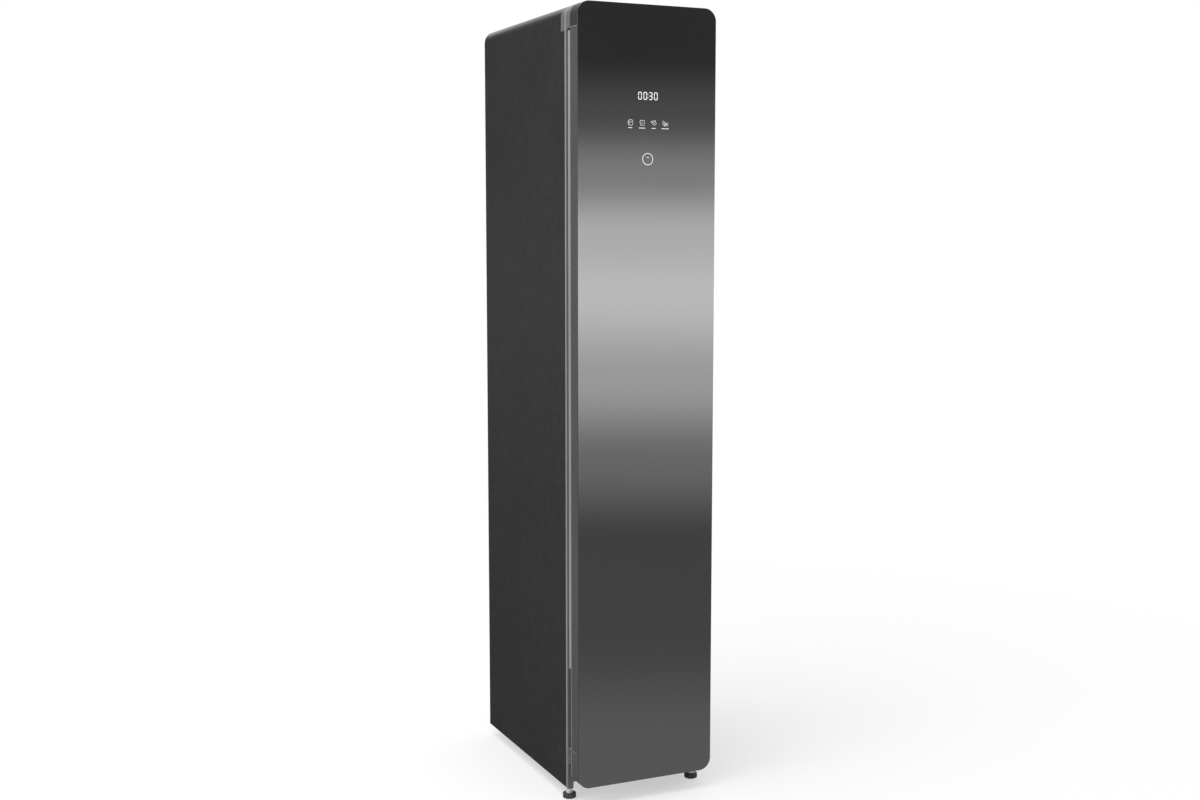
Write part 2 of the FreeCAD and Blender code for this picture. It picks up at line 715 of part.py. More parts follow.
def chamber_side_wall(side):
    """Upright wall of the chamber, in front of the foam."""
    wall = box(-LINER_HALF, -CHAMBER_HALF, BODY_S, REAR_WALL_S, CHAMBER_FLOOR, CEILING_Z)
    return wall if side < 0 else wall.mirror(Vec(0, 0, 0), Vec(1, 0, 0))


def chamber_rear_wall():
    """Rear wall of the chamber, with upright ribs that keep clothes off it."""
    wall = box(-LINER_HALF, LINER_HALF, REAR_WALL_S, REAR_WALL_S + WALL_T, CHAMBER_FLOOR, CEILING_Z)
    ribs = []
    for index in range(REAR_RIBS):
        x = (index + 1) * 2 * CHAMBER_HALF / (REAR_RIBS + 1) - CHAMBER_HALF
        ribs.append(box(x - WALL_T, x + WALL_T, REAR_WALL_S - WALL_T, REAR_WALL_S,
                        SHELF_Z + STUD_IN, CEILING_Z - STUD_IN))
    return union([wall] + ribs)


def chamber_floor():
    """Moulded floor with a filter slot, a steam hole, supply slots and a lip at the front."""
    floor = box(-LINER_HALF, LINER_HALF, BODY_S, PANEL_BACK_S - REAR_FOAM_T, FLOOR_LOW, CHAMBER_FLOOR)
    filter_slot = box(-FILTER_W / 2, FILTER_W / 2, FILTER_S - FILTER_D / 2, FILTER_S + FILTER_D / 2,
                      FLOOR_LOW, CHAMBER_FLOOR)
    steam_hole = rod("z", HOSE_R, FLOOR_T, BOILER_X, BOILER_S, FLOOR_LOW)
    floor = floor.cut(filter_slot).cut(steam_hole)
    slots = int((OUTLET_W - GRILLE_PITCH) / GRILLE_PITCH)
    for index in range(slots):
        x = FAN_X - OUTLET_W / 2 + GRILLE_PITCH * (index + 1) - GRILLE_SLOT / 2
        floor = floor.cut(box(x, x + GRILLE_SLOT, OUTLET_RISE + GRILLE_PITCH, OUTLET_END - GRILLE_PITCH,
                              FLOOR_LOW, CHAMBER_FLOOR))
    return floor


def rail_places():
    """Depths of the two guide rails of the hanger carriage."""
    return [BAR_S - RAIL_SPREAD, BAR_S + RAIL_SPREAD]


def chamber_ceiling():
    """Ceiling with slots for the bar posts, a lamp opening and towers that hold the guide rails."""
    plate = box(-LINER_HALF, LINER_HALF, BODY_S, REAR_WALL_S + WALL_T, CEILING_Z, CEILING_Z + WALL_T)
    towers = []
    for side in (-1, 1):
        for s in rail_places():
            x0 = side * RAIL_L / 2 - (TOWER_W if side > 0 else 0)
            towers.append(box(x0, x0 + TOWER_W, s - TOWER_W, s + TOWER_W, CEILING_Z + WALL_T, TOWER_TOP))
    ceiling = union([plate] + towers)
    for s in rail_places():
        ceiling = ceiling.cut(rod("x", RAIL_R, RAIL_L, -RAIL_L / 2, s, RAIL_Z))
    reach = STROKE + POST_R + SLOT_GAP
    for side in (-1, 1):
        ceiling = ceiling.cut(box(side * POST_X - reach, side * POST_X + reach, BAR_S - POST_R - SLOT_GAP,
                                  BAR_S + POST_R + SLOT_GAP, CEILING_Z, CEILING_Z + WALL_T))
    lamp = box(-LAMP_W / 2, LAMP_W / 2, LAMP_S - LAMP_D / 2, LAMP_S + LAMP_D / 2,
               CEILING_Z, CEILING_Z + WALL_T)
    return ceiling.cut(lamp)


def chamber_lamp():
    """Light bar in the ceiling, with a flange that rests against it from below."""
    body = box(-LAMP_W / 2, LAMP_W / 2, LAMP_S - LAMP_D / 2, LAMP_S + LAMP_D / 2,
               CEILING_Z, CEILING_Z - LAMP_DROP + LAMP_H)
    flange = box(-LAMP_W / 2 - LAMP_DROP, LAMP_W / 2 + LAMP_DROP, LAMP_S - LAMP_D / 2 - LAMP_DROP,
                 LAMP_S + LAMP_D / 2 + LAMP_DROP, CEILING_Z - LAMP_DROP, CEILING_Z)
    return union([body, flange])


def shelf_supports():
    """Four studs on the side walls that carry the shelf."""
    studs = []
    for s in (BODY_S + STUD_IN, REAR_WALL_S - STUD_IN):
        studs.append(rod("x", STUD_R, STUD_L, -CHAMBER_HALF, s, SHELF_Z - STUD_R - TOUCH_GAP))
        studs.append(rod("x", STUD_R, STUD_L, CHAMBER_HALF - STUD_L, s, SHELF_Z - STUD_R - TOUCH_GAP))
    return studs


def shelf():
    """Slatted shelf that lifts off its studs."""
    half = CHAMBER_HALF - SHELF_SIDE_GAP
    s0 = BODY_S + SHELF_END_GAP
    s1 = REAR_WALL_S - SHELF_END_GAP
    rim = hollow_box(-half, half, s0, s1, SHELF_Z, SHELF_Z + SHELF_T, SHELF_RIM)
    slats = []
    count = int((half - SHELF_RIM) / SLAT_PITCH)
    for index in range(-count, count + 1):
        x = index * SLAT_PITCH
        slats.append(box(x - SLAT_W / 2, x + SLAT_W / 2, s0 + SHELF_RIM, s1 - SHELF_RIM,
                         SHELF_Z + SLAT_INSET, SHELF_Z + SHELF_T - SLAT_INSET))
    return union([rim] + slats)


def lint_filter():
    """Lift-out filter: a frame with a mesh bottom, a flange on the floor and a grip tab."""
    gap = TOUCH_GAP
    x1 = FILTER_W / 2 - gap
    s0 = FILTER_S - FILTER_D / 2 + gap
    s1 = FILTER_S + FILTER_D / 2 - gap
    z0 = CHAMBER_FLOOR - FILTER_H
    seat = CHAMBER_FLOOR + gap
    walls = hollow_box(-x1, x1, s0, s1, z0, seat, FILTER_WALL)
    mesh = box(-x1, x1, s0, s1, z0, z0 + MESH_T)
    flange = hollow_box(-x1 - FILTER_FLANGE, x1 + FILTER_FLANGE, s0 - FILTER_FLANGE, s1 + FILTER_FLANGE,
                        seat, seat + FILTER_FLANGE_T, FILTER_FLANGE + FILTER_WALL)
    bridge = box(-FILTER_TAB_W / 2, FILTER_TAB_W / 2, s0, s1, seat, seat + FILTER_FLANGE_T)
    tab = box(-FILTER_TAB_W / 2, FILTER_TAB_W / 2, FILTER_S - FILTER_WALL, FILTER_S + FILTER_WALL,
              seat, seat + FILTER_TAB_H)
    body = union([walls, mesh, flange, bridge, tab])
    slots = int((FILTER_W - 2 * GRILLE_PITCH) / GRILLE_PITCH)
    for index in range(slots):
        x = -FILTER_W / 2 + GRILLE_PITCH * (index + 1)
        body = body.cut(box(x, x + GRILLE_SLOT, s0 + FILTER_WALL, s1 - FILTER_WALL, z0, z0 + MESH_T))
    return body


def steam_nozzle():
    """Steam outlet on the chamber floor, with holes around its dome."""
    base = rod("z", NOZZLE_R, NOZZLE_H / 2, BOILER_X, BOILER_S, CHAMBER_FLOOR)
    dome = Part.makeCone(NOZZLE_R, NOZZLE_R / 2, NOZZLE_H / 2,
                         Vec(BOILER_X, BOILER_S - DEPTH / 2, CHAMBER_FLOOR + NOZZLE_H / 2), Vec(0, 0, 1))
    nozzle = union([base, dome])
    bore = rod("z", HOSE_R, NOZZLE_H / 2, BOILER_X, BOILER_S, CHAMBER_FLOOR)
    nozzle = nozzle.cut(bore)
    for index in range(NOZZLE_HOLES):
        turn = 2 * math.pi * index / NOZZLE_HOLES
        direction = Vec(math.cos(turn), math.sin(turn), 0)
        start = Vec(BOILER_X, BOILER_S - DEPTH / 2, CHAMBER_FLOOR + NOZZLE_HOLE)
        nozzle = nozzle.cut(Part.makeCylinder(NOZZLE_HOLE / 2, NOZZLE_R + CUT_MARGIN, start, direction))
    return nozzle


# ---------------------------------------------------------------- hanger drive

def carriage_rails():
    """Two steel guide rails along the width, above the ceiling."""
    return [rod("x", RAIL_R, RAIL_L, -RAIL_L / 2, s, RAIL_Z) for s in rail_places()]


def rack_teeth():
    """Straight rack teeth that face the pinion, with a tooth gap at the middle."""
    pitch = math.pi * GEAR_MODULE
    lean = math.tan(math.radians(GEAR_ANGLE))
    tip = GEAR_MODULE
    half_pitch_line = pitch / 4 - GEAR_BACKLASH / 4
    teeth = []
    for index in range(RACK_TEETH + 1):
        x = (index - RACK_TEETH / 2) * pitch
        outline = [(x - half_pitch_line - ROOT_DEPTH * lean, BAR_S - ROOT_DEPTH),
                   (x + half_pitch_line + ROOT_DEPTH * lean, BAR_S - ROOT_DEPTH),
                   (x + half_pitch_line - tip * lean, BAR_S + tip),
                   (x - half_pitch_line + tip * lean, BAR_S + tip)]
        teeth.append(plan_shape(outline, GEAR_LOW - GEAR_LIFT, GEAR_LOW + GEAR_T))
    return teeth


def hanger_carriage():
    """Moulded carriage with four bushes on the rails and a rack that the pinion drives."""
    half = CARRIAGE_L / 2
    s0 = BAR_S - RAIL_SPREAD - BUSH_W / 2
    s1 = BAR_S + RAIL_SPREAD + BUSH_W / 2
    top = CARRIAGE_LOW + CARRIAGE_T
    parts = [box(-half, half, s0, s1, CARRIAGE_LOW, top)]
    for side in (-1, 1):
        x0 = half - BUSH_L if side > 0 else -half
        for s in rail_places():
            parts.append(box(x0, x0 + BUSH_L, s - BUSH_W / 2, s + BUSH_W / 2, top, BUSH_TOP))
    root_s = BAR_S - ROOT_DEPTH
    parts.append(box(-half + BUSH_L, half - BUSH_L, root_s - RACK_BACK, root_s, top, GEAR_LOW + GEAR_T))
    carriage = union(parts + rack_teeth())
    for s in rail_places():
        carriage = carriage.cut(rod("x", RAIL_R + RUN_GAP, RAIL_L, -RAIL_L / 2, s, RAIL_Z))
    return carriage


def gear_flank(sign, half_thick):
    """Points of one involute flank, from the root to the tip, about the tooth that points along +X."""
    base = PITCH_R * math.cos(math.radians(GEAR_ANGLE))
    tip = PITCH_R + GEAR_MODULE
    pitch_roll = math.tan(math.radians(GEAR_ANGLE))
    start = half_thick + pitch_roll - math.radians(GEAR_ANGLE)
    flank = []
    top_roll = math.sqrt((tip / base) ** 2 - 1)
    for index in range(FLANK_STEPS + 1):
        roll = top_roll * index / FLANK_STEPS
        radius = base * math.sqrt(1 + roll * roll)
        angle = sign * (start - (roll - math.atan(roll)))
        flank.append((radius, angle))
    return [(PITCH_R - ROOT_DEPTH, sign * start)] + flank


def drive_pinion():
    """Pinion on the motor shaft; one tooth points at the rack's middle gap."""
    half_thick = (math.pi / 2 - GEAR_BACKLASH / (2 * GEAR_MODULE)) / GEAR_TEETH
    points = []
    for index in range(GEAR_TEETH):
        centre = -math.pi / 2 + 2 * math.pi * index / GEAR_TEETH
        flank = gear_flank(-1, half_thick) + gear_flank(1, half_thick)[::-1]
        for radius, angle in flank:
            points.append((radius * math.cos(centre + angle), GEAR_S + radius * math.sin(centre + angle)))
    gear = plan_shape(points, GEAR_LOW, GEAR_LOW + GEAR_T)
    return gear.cut(rod("z", SHAFT_R, GEAR_T, 0, GEAR_S, GEAR_LOW))


def motor_bridge():
    """Sheet bridge over the carriage that carries the drive motor."""
    s0 = GEAR_S - BRIDGE_HALF
    s1 = GEAR_S + BRIDGE_HALF
    x1 = BRIDGE_W / 2
    deck = box(-x1, x1, s0, s1, BRIDGE_TOP - BRIDGE_T, BRIDGE_TOP)
    legs = [box(-x1, x1, s0, s0 + BRIDGE_T, CEILING_Z + WALL_T, BRIDGE_TOP),
            box(-x1, x1, s1 - BRIDGE_T, s1, CEILING_Z + WALL_T, BRIDGE_TOP)]
    bridge = union([deck] + legs)
    return bridge.cut(rod("z", SHAFT_R + SHAFT_CLEAR, BRIDGE_TOP, 0, GEAR_S, GEAR_LOW))


def drive_motor():
    """Reversing gear motor whose shaft carries the pinion."""
    can = rod("z", MOTOR_R, MOTOR_H, 0, GEAR_S, BRIDGE_TOP)
    shaft = rod("z", SHAFT_R - RUN_GAP, BRIDGE_TOP - GEAR_LOW, 0, GEAR_S, GEAR_LOW)
    return union([can, shaft])


def hanger_places():
    """Places of the hangers along the bar."""
    middle = (HANGER_COUNT - 1) / 2
    return [(index - middle) * HANGER_PITCH for index in range(HANGER_COUNT)]


def hanger_bar():
    """Moving bar with a grooved collar for each hanger and two posts up to the carriage."""
    parts = [rod("x", BAR_R, BAR_L, -BAR_L / 2, BAR_S, BAR_Z)]
    for x in hanger_places():
        parts.append(rod("x", COLLAR_R, COLLAR_W, x - COLLAR_W / 2, BAR_S, BAR_Z))
    for side in (-1, 1):
        parts.append(rod("z", POST_R, CARRIAGE_LOW - BAR_Z, side * POST_X, BAR_S, BAR_Z))
    bar = union(parts)
    for x in hanger_places():
        groove = rod("x", COLLAR_R + CUT_MARGIN, COLLAR_NECK_W, x - COLLAR_NECK_W / 2, BAR_S, BAR_Z)
        groove = groove.cut(rod("x", BAR_R, COLLAR_NECK_W, x - COLLAR_NECK_W / 2, BAR_S, BAR_Z))
        bar = bar.cut(groove)
    return bar


def garment_hanger(x):
    """Moulded clothes hanger that lies along the depth, hooked over the bar."""
    y = BAR_S - DEPTH / 2
    x0 = x - HANGER_T / 2
    inner = BAR_R + HOOK_GAP
    outer = inner + HOOK_W
    along = Vec(1, 0, 0)
    hook = Part.makeCylinder(outer, HANGER_T, Vec(x0, y, BAR_Z), along)
    hook = hook.cut(Part.makeCylinder(inner, HANGER_T, Vec(x0, y, BAR_Z), along))
    hook = hook.cut(box(x0, x0 + HANGER_T, BAR_S - outer, BAR_S, BAR_Z - outer, BAR_Z))
    neck_z = BAR_Z - inner - HOOK_W
    yoke_z = neck_z - NECK_H
    neck = box(x0, x0 + HANGER_T, BAR_S - HOOK_W / 2, BAR_S + HOOK_W / 2, yoke_z - HANGER_ARM / 2,
               neck_z + HOOK_W / 2)
    near = y - HANGER_SPAN / 2
    far = y + HANGER_SPAN / 2
    end_top = yoke_z - HANGER_DROP
    end_low = end_top - HANGER_ARM
    top = Part.Arc(Vec(x0, near, end_top), Vec(x0, y, yoke_z), Vec(x0, far, end_top))
    low = Part.Arc(Vec(x0, far, end_low), Vec(x0, y, yoke_z - HANGER_ARM), Vec(x0, near, end_low))
    far_end = Part.makeLine(Vec(x0, far, end_top), Vec(x0, far, end_low))
    near_end = Part.makeLine(Vec(x0, near, end_low), Vec(x0, near, end_top))
    outline = Part.Wire([top.toShape(), far_end, low.toShape(), near_end])
    yoke = Part.Face(outline).extrude(Vec(HANGER_T, 0, 0))
    return union([hook, neck, yoke])


# ---------------------------------------------------------------- water tanks

def tank_span(side):
    """Left and right faces of a tank, as (x0, x1)."""
    inner = TANK_MID_GAP / 2
    return (-inner - TANK_W, -inner) if side < 0 else (inner, inner + TANK_W)


def tank_floor():
    """Height of the underside of a tank on the bay."""
    return BAY_FLOOR + TOUCH_GAP


def water_tank(side):
    """Open tank with a grip rail across its front."""
    x0, x1 = tank_span(side)
    z0 = tank_floor()
    z1 = z0 + TANK_H
    tank = box(x0, x1, TANK_S, TANK_S + TANK_D, z0, z1)
    tank = tank.makeFillet(TANK_R, [edge for edge in tank.Edges if upright(edge)])
    inner = box(x0 + TANK_WALL, x1 - TANK_WALL, TANK_S + TANK_WALL, TANK_S + TANK_D - TANK_WALL,
                z0 + TANK_WALL, z1)
    inner = inner.makeFillet(TANK_R - TANK_WALL, [edge for edge in inner.Edges if upright(edge)])
    middle = (x0 + x1) / 2
    grip_top = z1 - TANK_GRIP_H
    grip = box(middle - TANK_GRIP_W / 2, middle + TANK_GRIP_W / 2, TANK_S - TANK_GRIP_D, TANK_S + TANK_WALL,
               grip_top - TANK_GRIP_H, grip_top)
    return union([tank.cut(inner), grip])


def upright(edge):
    """True for a straight edge along Z."""
    first, last = edge.Vertexes[0].Point, edge.Vertexes[-1].Point
    return abs(first.z - last.z) > TINY


def tank_lid(side):
    """Lid that rests on the tank's rim and fits inside it."""
    x0, x1 = tank_span(side)
    z1 = tank_floor() + TANK_H
    plate = box(x0, x1, TANK_S, TANK_S + TANK_D, z1, z1 + LID_T)
    plate = plate.makeFillet(TANK_R, [edge for edge in plate.Edges if upright(edge)])
    inset = TANK_WALL + TOUCH_GAP
    plug = box(x0 + inset, x1 - inset, TANK_S + inset, TANK_S + TANK_D - inset, z1 - LID_LIP, z1)
    plug = plug.makeFillet(TANK_R - inset, [edge for edge in plug.Edges if upright(edge)])
    knob = rod("z", LID_KNOB_R, LID_KNOB_H, (x0 + x1) / 2, TANK_S + TANK_D / 2, z1 + LID_T)
    return union([plate, plug, knob])


def tank_bay():
    """Moulded tray that carries both tanks, on legs over the pumps."""
    half = OPENING_HALF - SHEET
    s0 = BODY_S + SHEET
    s1 = TANK_S + TANK_D + GRILLE_SLOT
    floor = box(-half, half, s0, s1, BAY_FLOOR - BAY_T, BAY_FLOOR)
    rear = box(-half, half, s1 - BAY_T / 2, s1, BAY_FLOOR, BAY_FLOOR + BAY_WALL)
    rib = box(-BAY_T / 4, BAY_T / 4, TANK_S, s1, BAY_FLOOR, BAY_FLOOR + BAY_WALL)
    parts = [floor, rear, rib]
    for side in (-1, 1):
        x0 = half - BAY_LEG if side > 0 else -half
        for s in (s0 + BAY_LEG, s1 - BAY_LEG):
            parts.append(box(x0, x0 + BAY_LEG, s - BAY_LEG, s, BASE_TOP, BAY_FLOOR))
    return union(parts)


def water_pumps():
    """Supply pump and drain pump under the tanks, alike, each with its foot."""
    pumps = []
    for side in (-1, 1):
        x = side * PUMP_X
        z = BASE_TOP + PUMP_FOOT + PUMP_R
        can = rod("y", PUMP_R, PUMP_L, x, PUMP_S - PUMP_L / 2, z)
        foot = box(x - PUMP_R, x + PUMP_R, PUMP_S - PUMP_L / 2, PUMP_S + PUMP_L / 2, BASE_TOP, z - PUMP_R / 2)
        spout = rod("y", HOSE_R, PUMP_FOOT * 2, x, PUMP_S + PUMP_L / 2, z)
        pumps.append(union([can, foot, spout]))
    return pumps


# ---------------------------------------------------------------- machine space

def fan_housing():
    """Blower housing on the base: motor space, rotor space, inlet above and outlet duct to the floor."""
    z_top = FAN_TOP
    deck_top = FAN_DECK + FAN_DECK_T
    can = rod("z", FAN_R, z_top - BASE_TOP, FAN_X, FAN_S, BASE_TOP)
    x0 = FAN_X - OUTLET_W / 2
    x1 = FAN_X + OUTLET_W / 2
    duct = box(x0, x1, FAN_S, OUTLET_END, FAN_DECK, z_top)
    riser = box(x0, x1, OUTLET_RISE, OUTLET_END, FAN_DECK, FLOOR_LOW)
    outer = union([can, duct, riser])
    w = FAN_WALL
    motor_space = rod("z", FAN_R - w, FAN_DECK - BASE_TOP, FAN_X, FAN_S, BASE_TOP)
    rotor_space = rod("z", FAN_R - w, z_top - w - deck_top, FAN_X, FAN_S, deck_top)
    duct_space = box(x0 + w, x1 - w, FAN_S, OUTLET_END - w, deck_top, z_top - w)
    riser_space = box(x0 + w, x1 - w, OUTLET_RISE + w, OUTLET_END - w, deck_top, FLOOR_LOW)
    inlet = rod("z", FAN_INLET_R, w, FAN_X, FAN_S, z_top - w)
    shaft = rod("z", SHAFT_R + FAN_SHAFT_GAP, FAN_DECK_T, FAN_X, FAN_S, FAN_DECK)
    housing = outer
    for space in (motor_space, rotor_space, duct_space, riser_space, inlet, shaft):
        housing = housing.cut(space)
    return housing


def fan_motor():
    """Blower motor on the base, with its shaft up through the deck."""
    can = rod("z", MOTOR2_R, FAN_DECK - BASE_TOP - FAN_SHAFT_GAP, FAN_X, FAN_S, BASE_TOP)
    shaft_top = FAN_DECK + FAN_DECK_T + ROTOR_GAP + ROTOR_H / 2
    shaft = rod("z", SHAFT_R, shaft_top - BASE_TOP, FAN_X, FAN_S, BASE_TOP)
    return union([can, shaft])


def fan_rotor():
    """Centrifugal rotor: a plate, a hub, a ring of upright blades and a shroud ring."""
    z0 = FAN_DECK + FAN_DECK_T + ROTOR_GAP
    plate = rod("z", ROTOR_R, ROTOR_PLATE, FAN_X, FAN_S, z0)
    hub = rod("z", ROTOR_HUB_R, ROTOR_H / 2, FAN_X, FAN_S, z0)
    shroud = rod("z", ROTOR_R, ROTOR_PLATE, FAN_X, FAN_S, z0 + ROTOR_H - ROTOR_PLATE)
    shroud = shroud.cut(rod("z", ROTOR_EYE_R, ROTOR_PLATE, FAN_X, FAN_S, z0 + ROTOR_H - ROTOR_PLATE))
    blades = []
    centre = Vec(FAN_X, FAN_S - DEPTH / 2, 0)
    for index in range(BLADE_COUNT):
        blade = box(FAN_X + ROTOR_EYE_R + BLADE_INSET, FAN_X + ROTOR_R - ROTOR_PLATE,
                    FAN_S - BLADE_T / 2, FAN_S + BLADE_T / 2,
                    z0 + ROTOR_PLATE / 2, z0 + ROTOR_H - ROTOR_PLATE / 2)
        blade.rotate(centre, Vec(0, 0, 1), index * 360.0 / BLADE_COUNT)
        blades.append(blade)
    rotor = union([plate, hub, shroud] + blades)
    return rotor.cut(rod("z", SHAFT_R + RUN_GAP, ROTOR_H, FAN_X, FAN_S, z0))


def air_heater():
    """Finned heater in the outlet duct."""
    gap = TOUCH_GAP
    x0 = FAN_X - OUTLET_W / 2 + FAN_WALL + gap
    x1 = FAN_X + OUTLET_W / 2 - FAN_WALL - gap
    z0 = FAN_DECK + FAN_DECK_T
    z1 = FAN_TOP - FAN_WALL - gap
    s1 = HEATER_S + HEATER_D
    frame = box(x0, x1, HEATER_S, s1, z0, z1).cut(
        box(x0 + HEATER_RIM, x1 - HEATER_RIM, HEATER_S, s1, z0 + HEATER_RIM, z1 - HEATER_RIM))
    fins = []
    count = int((x1 - x0 - 2 * HEATER_RIM) / FIN_PITCH)
    for index in range(count):
        x = x0 + HEATER_RIM + FIN_PITCH * (index + 0.5)
        fins.append(box(x, x + FIN_T, HEATER_S, s1, z0 + HEATER_RIM, z1 - HEATER_RIM))
    return union([frame] + fins)


def air_duct():
    """Return duct from the filter slot down to the blower's inlet."""
    x0 = -DUCT_SIDE
    x1 = FAN_X + FAN_R
    s0 = FILTER_S - FILTER_D
    duct = hollow_box(x0, x1, s0, DUCT_END, FAN_TOP, FLOOR_LOW, DUCT_WALL)
    bottom = box(x0, x1, s0, DUCT_END, FAN_TOP, FAN_TOP + DUCT_WALL)
    hole = rod("z", FAN_INLET_R, DUCT_WALL, FAN_X, FAN_S, FAN_TOP)
    return union([duct, bottom]).cut(hole)


def steam_boiler():
    """Upright boiler with domed ends, a foot ring and a steam neck."""
    body = rod("z", BOILER_R, BOILER_H, BOILER_X, BOILER_S, BASE_TOP)
    rims = [edge for edge in body.Edges if isinstance(edge.Curve, Part.Circle)]
    body = body.makeFillet(BOILER_DOME, rims)
    foot = rod("z", BOILER_FOOT_R, BOILER_DOME, BOILER_X, BOILER_S, BASE_TOP)
    neck = rod("z", HOSE_R - HOSE_WALL, BOILER_NECK, BOILER_X, BOILER_S, BASE_TOP + BOILER_H)
    return union([body, foot, neck])


def steam_hose():
    """Straight hose from the boiler's neck up through the chamber floor."""
    z0 = BASE_TOP + BOILER_H
    length = CHAMBER_FLOOR - z0
    hose = rod("z", HOSE_R, length, BOILER_X, BOILER_S, z0)
    return hose.cut(rod("z", HOSE_R - HOSE_WALL, length, BOILER_X, BOILER_S, z0))


def control_box():
    """Closed box for the power electronics, with cooling slots in its lid."""
    x0 = BOX_X - BOX_W / 2
    s0 = BOX_S - BOX_D / 2
    body = box(x0, x0 + BOX_W, s0, s0 + BOX_D, BASE_TOP, BASE_TOP + BOX_H)
    for index in range(int(BOX_D / GRILLE_PITCH) - 2):
        s = s0 + GRILLE_PITCH * (index + 1)
        body = body.cut(box(x0 + GRILLE_PITCH, x0 + BOX_W - GRILLE_PITCH, s, s + GRILLE_SLOT,
                            BASE_TOP + BOX_H - GRILLE_SLOT, BASE_TOP + BOX_H))
    return body


# ---------------------------------------------------------------- feet and rollers

def front_foot(place):
    """Levelling foot: a ribbed knob with a steel neck and a threaded stem."""
    x, s = place
    knob = rod("z", KNOB_R, KNOB_H, x, s, 0)
    rims = [edge for edge in knob.Edges if isinstance(edge.Curve, Part.Circle)]
    knob = knob.makeChamfer(KNOB_CHAMFER, rims)
    for index in range(KNOB_RIBS):
        turn = 2 * math.pi * index / KNOB_RIBS
        groove = rod("z", KNOB_GROOVE_R, KNOB_H, x + KNOB_R * math.cos(turn), s + KNOB_R * math.sin(turn), 0)
        knob = knob.cut(groove)
    neck_top = SKIRT_LOW - NUT_H - TOUCH_GAP
    neck = rod("z", NECK_R, neck_top - KNOB_H, x, s, KNOB_H)
    stem = rod("z", STEM_R, STEM_TOP - neck_top, x, s, neck_top)
    return union([knob, neck, stem])


def foot_lock_nuts():
    """Hexagon nuts that lock the stems against the bosses."""
    nuts = []
    corner = NUT_FLATS / math.sqrt(3)
    for x, s in foot_places():
        points = []
        for index in range(6):
            turn = math.pi / 3 * index
            points.append((x + corner * math.cos(turn), s + corner * math.sin(turn)))
        nut = plan_shape(points, SKIRT_LOW - NUT_H, SKIRT_LOW)
        nuts.append(nut.cut(rod("z", STEM_R + RUN_GAP, NUT_H, x, s, SKIRT_LOW - NUT_H)))
    return nuts


def rear_roller(place):
    """Roller with its axle stubs moulded on."""
    x, s = place
    wheel = rod("x", ROLLER_R, ROLLER_W, x - ROLLER_W / 2, s, ROLLER_R)
    rims = [edge for edge in wheel.Edges if isinstance(edge.Curve, Part.Circle)]
    wheel = wheel.makeChamfer(ROLLER_CHAMFER, rims)
    reach = ROLLER_W / 2 + CHEEK_GAP + CHEEK_T + AXLE_END
    axle = rod("x", AXLE_R, 2 * reach, x - reach, s, ROLLER_R)
    return union([wheel, axle])


def roller_brackets():
    """Bent brackets under the base, each with two cheeks that hold a roller's axle."""
    brackets = []
    for x, s in roller_places():
        half = ROLLER_W / 2 + CHEEK_GAP
        deck = box(x - half - CHEEK_T, x + half + CHEEK_T, s - CHEEK_W / 2, s + CHEEK_W / 2,
                   BASE_LOW - CHEEK_T, BASE_LOW)
        parts = [deck]
        for x0 in (x - half - CHEEK_T, x + half):
            parts.append(box(x0, x0 + CHEEK_T, s - CHEEK_W / 2, s + CHEEK_W / 2,
                             ROLLER_R - AXLE_R * 2, BASE_LOW))
        bracket = union(parts)
        reach = half + CHEEK_T
        brackets.append(bracket.cut(rod("x", AXLE_R + RUN_GAP, 2 * reach, x - reach, s, ROLLER_R)))
    return brackets


# ---------------------------------------------------------------- screws

def screw(x, s_head, z, forward):
    """Pan-head screw along the depth; its head is in front of s_head, or behind it."""
    if forward:
        head = rod("y", SCREW_HEAD_R, SCREW_HEAD_T, x, s_head - SCREW_HEAD_T, z)
        shank = rod("y", SCREW_R, SCREW_L, x, s_head, z)
    else:
        head = rod("y", SCREW_HEAD_R, SCREW_HEAD_T, x, s_head, z)
        shank = rod("y", SCREW_R, SCREW_L, x, s_head - SCREW_L, z)
    return union([head, shank])


def pan_head_screws():
    """The like screws of the hinge brackets and the back panel."""
    screws = [screw(x, FRAME_S - FLANGE_T, z, True) for x, z in flange_screws(True) + flange_screws(False)]
    for side in (-1, 1):
        for z in back_screw_heights():
            screws.append(screw(back_screw_x(side), BACK_S, z, False))
    return screws


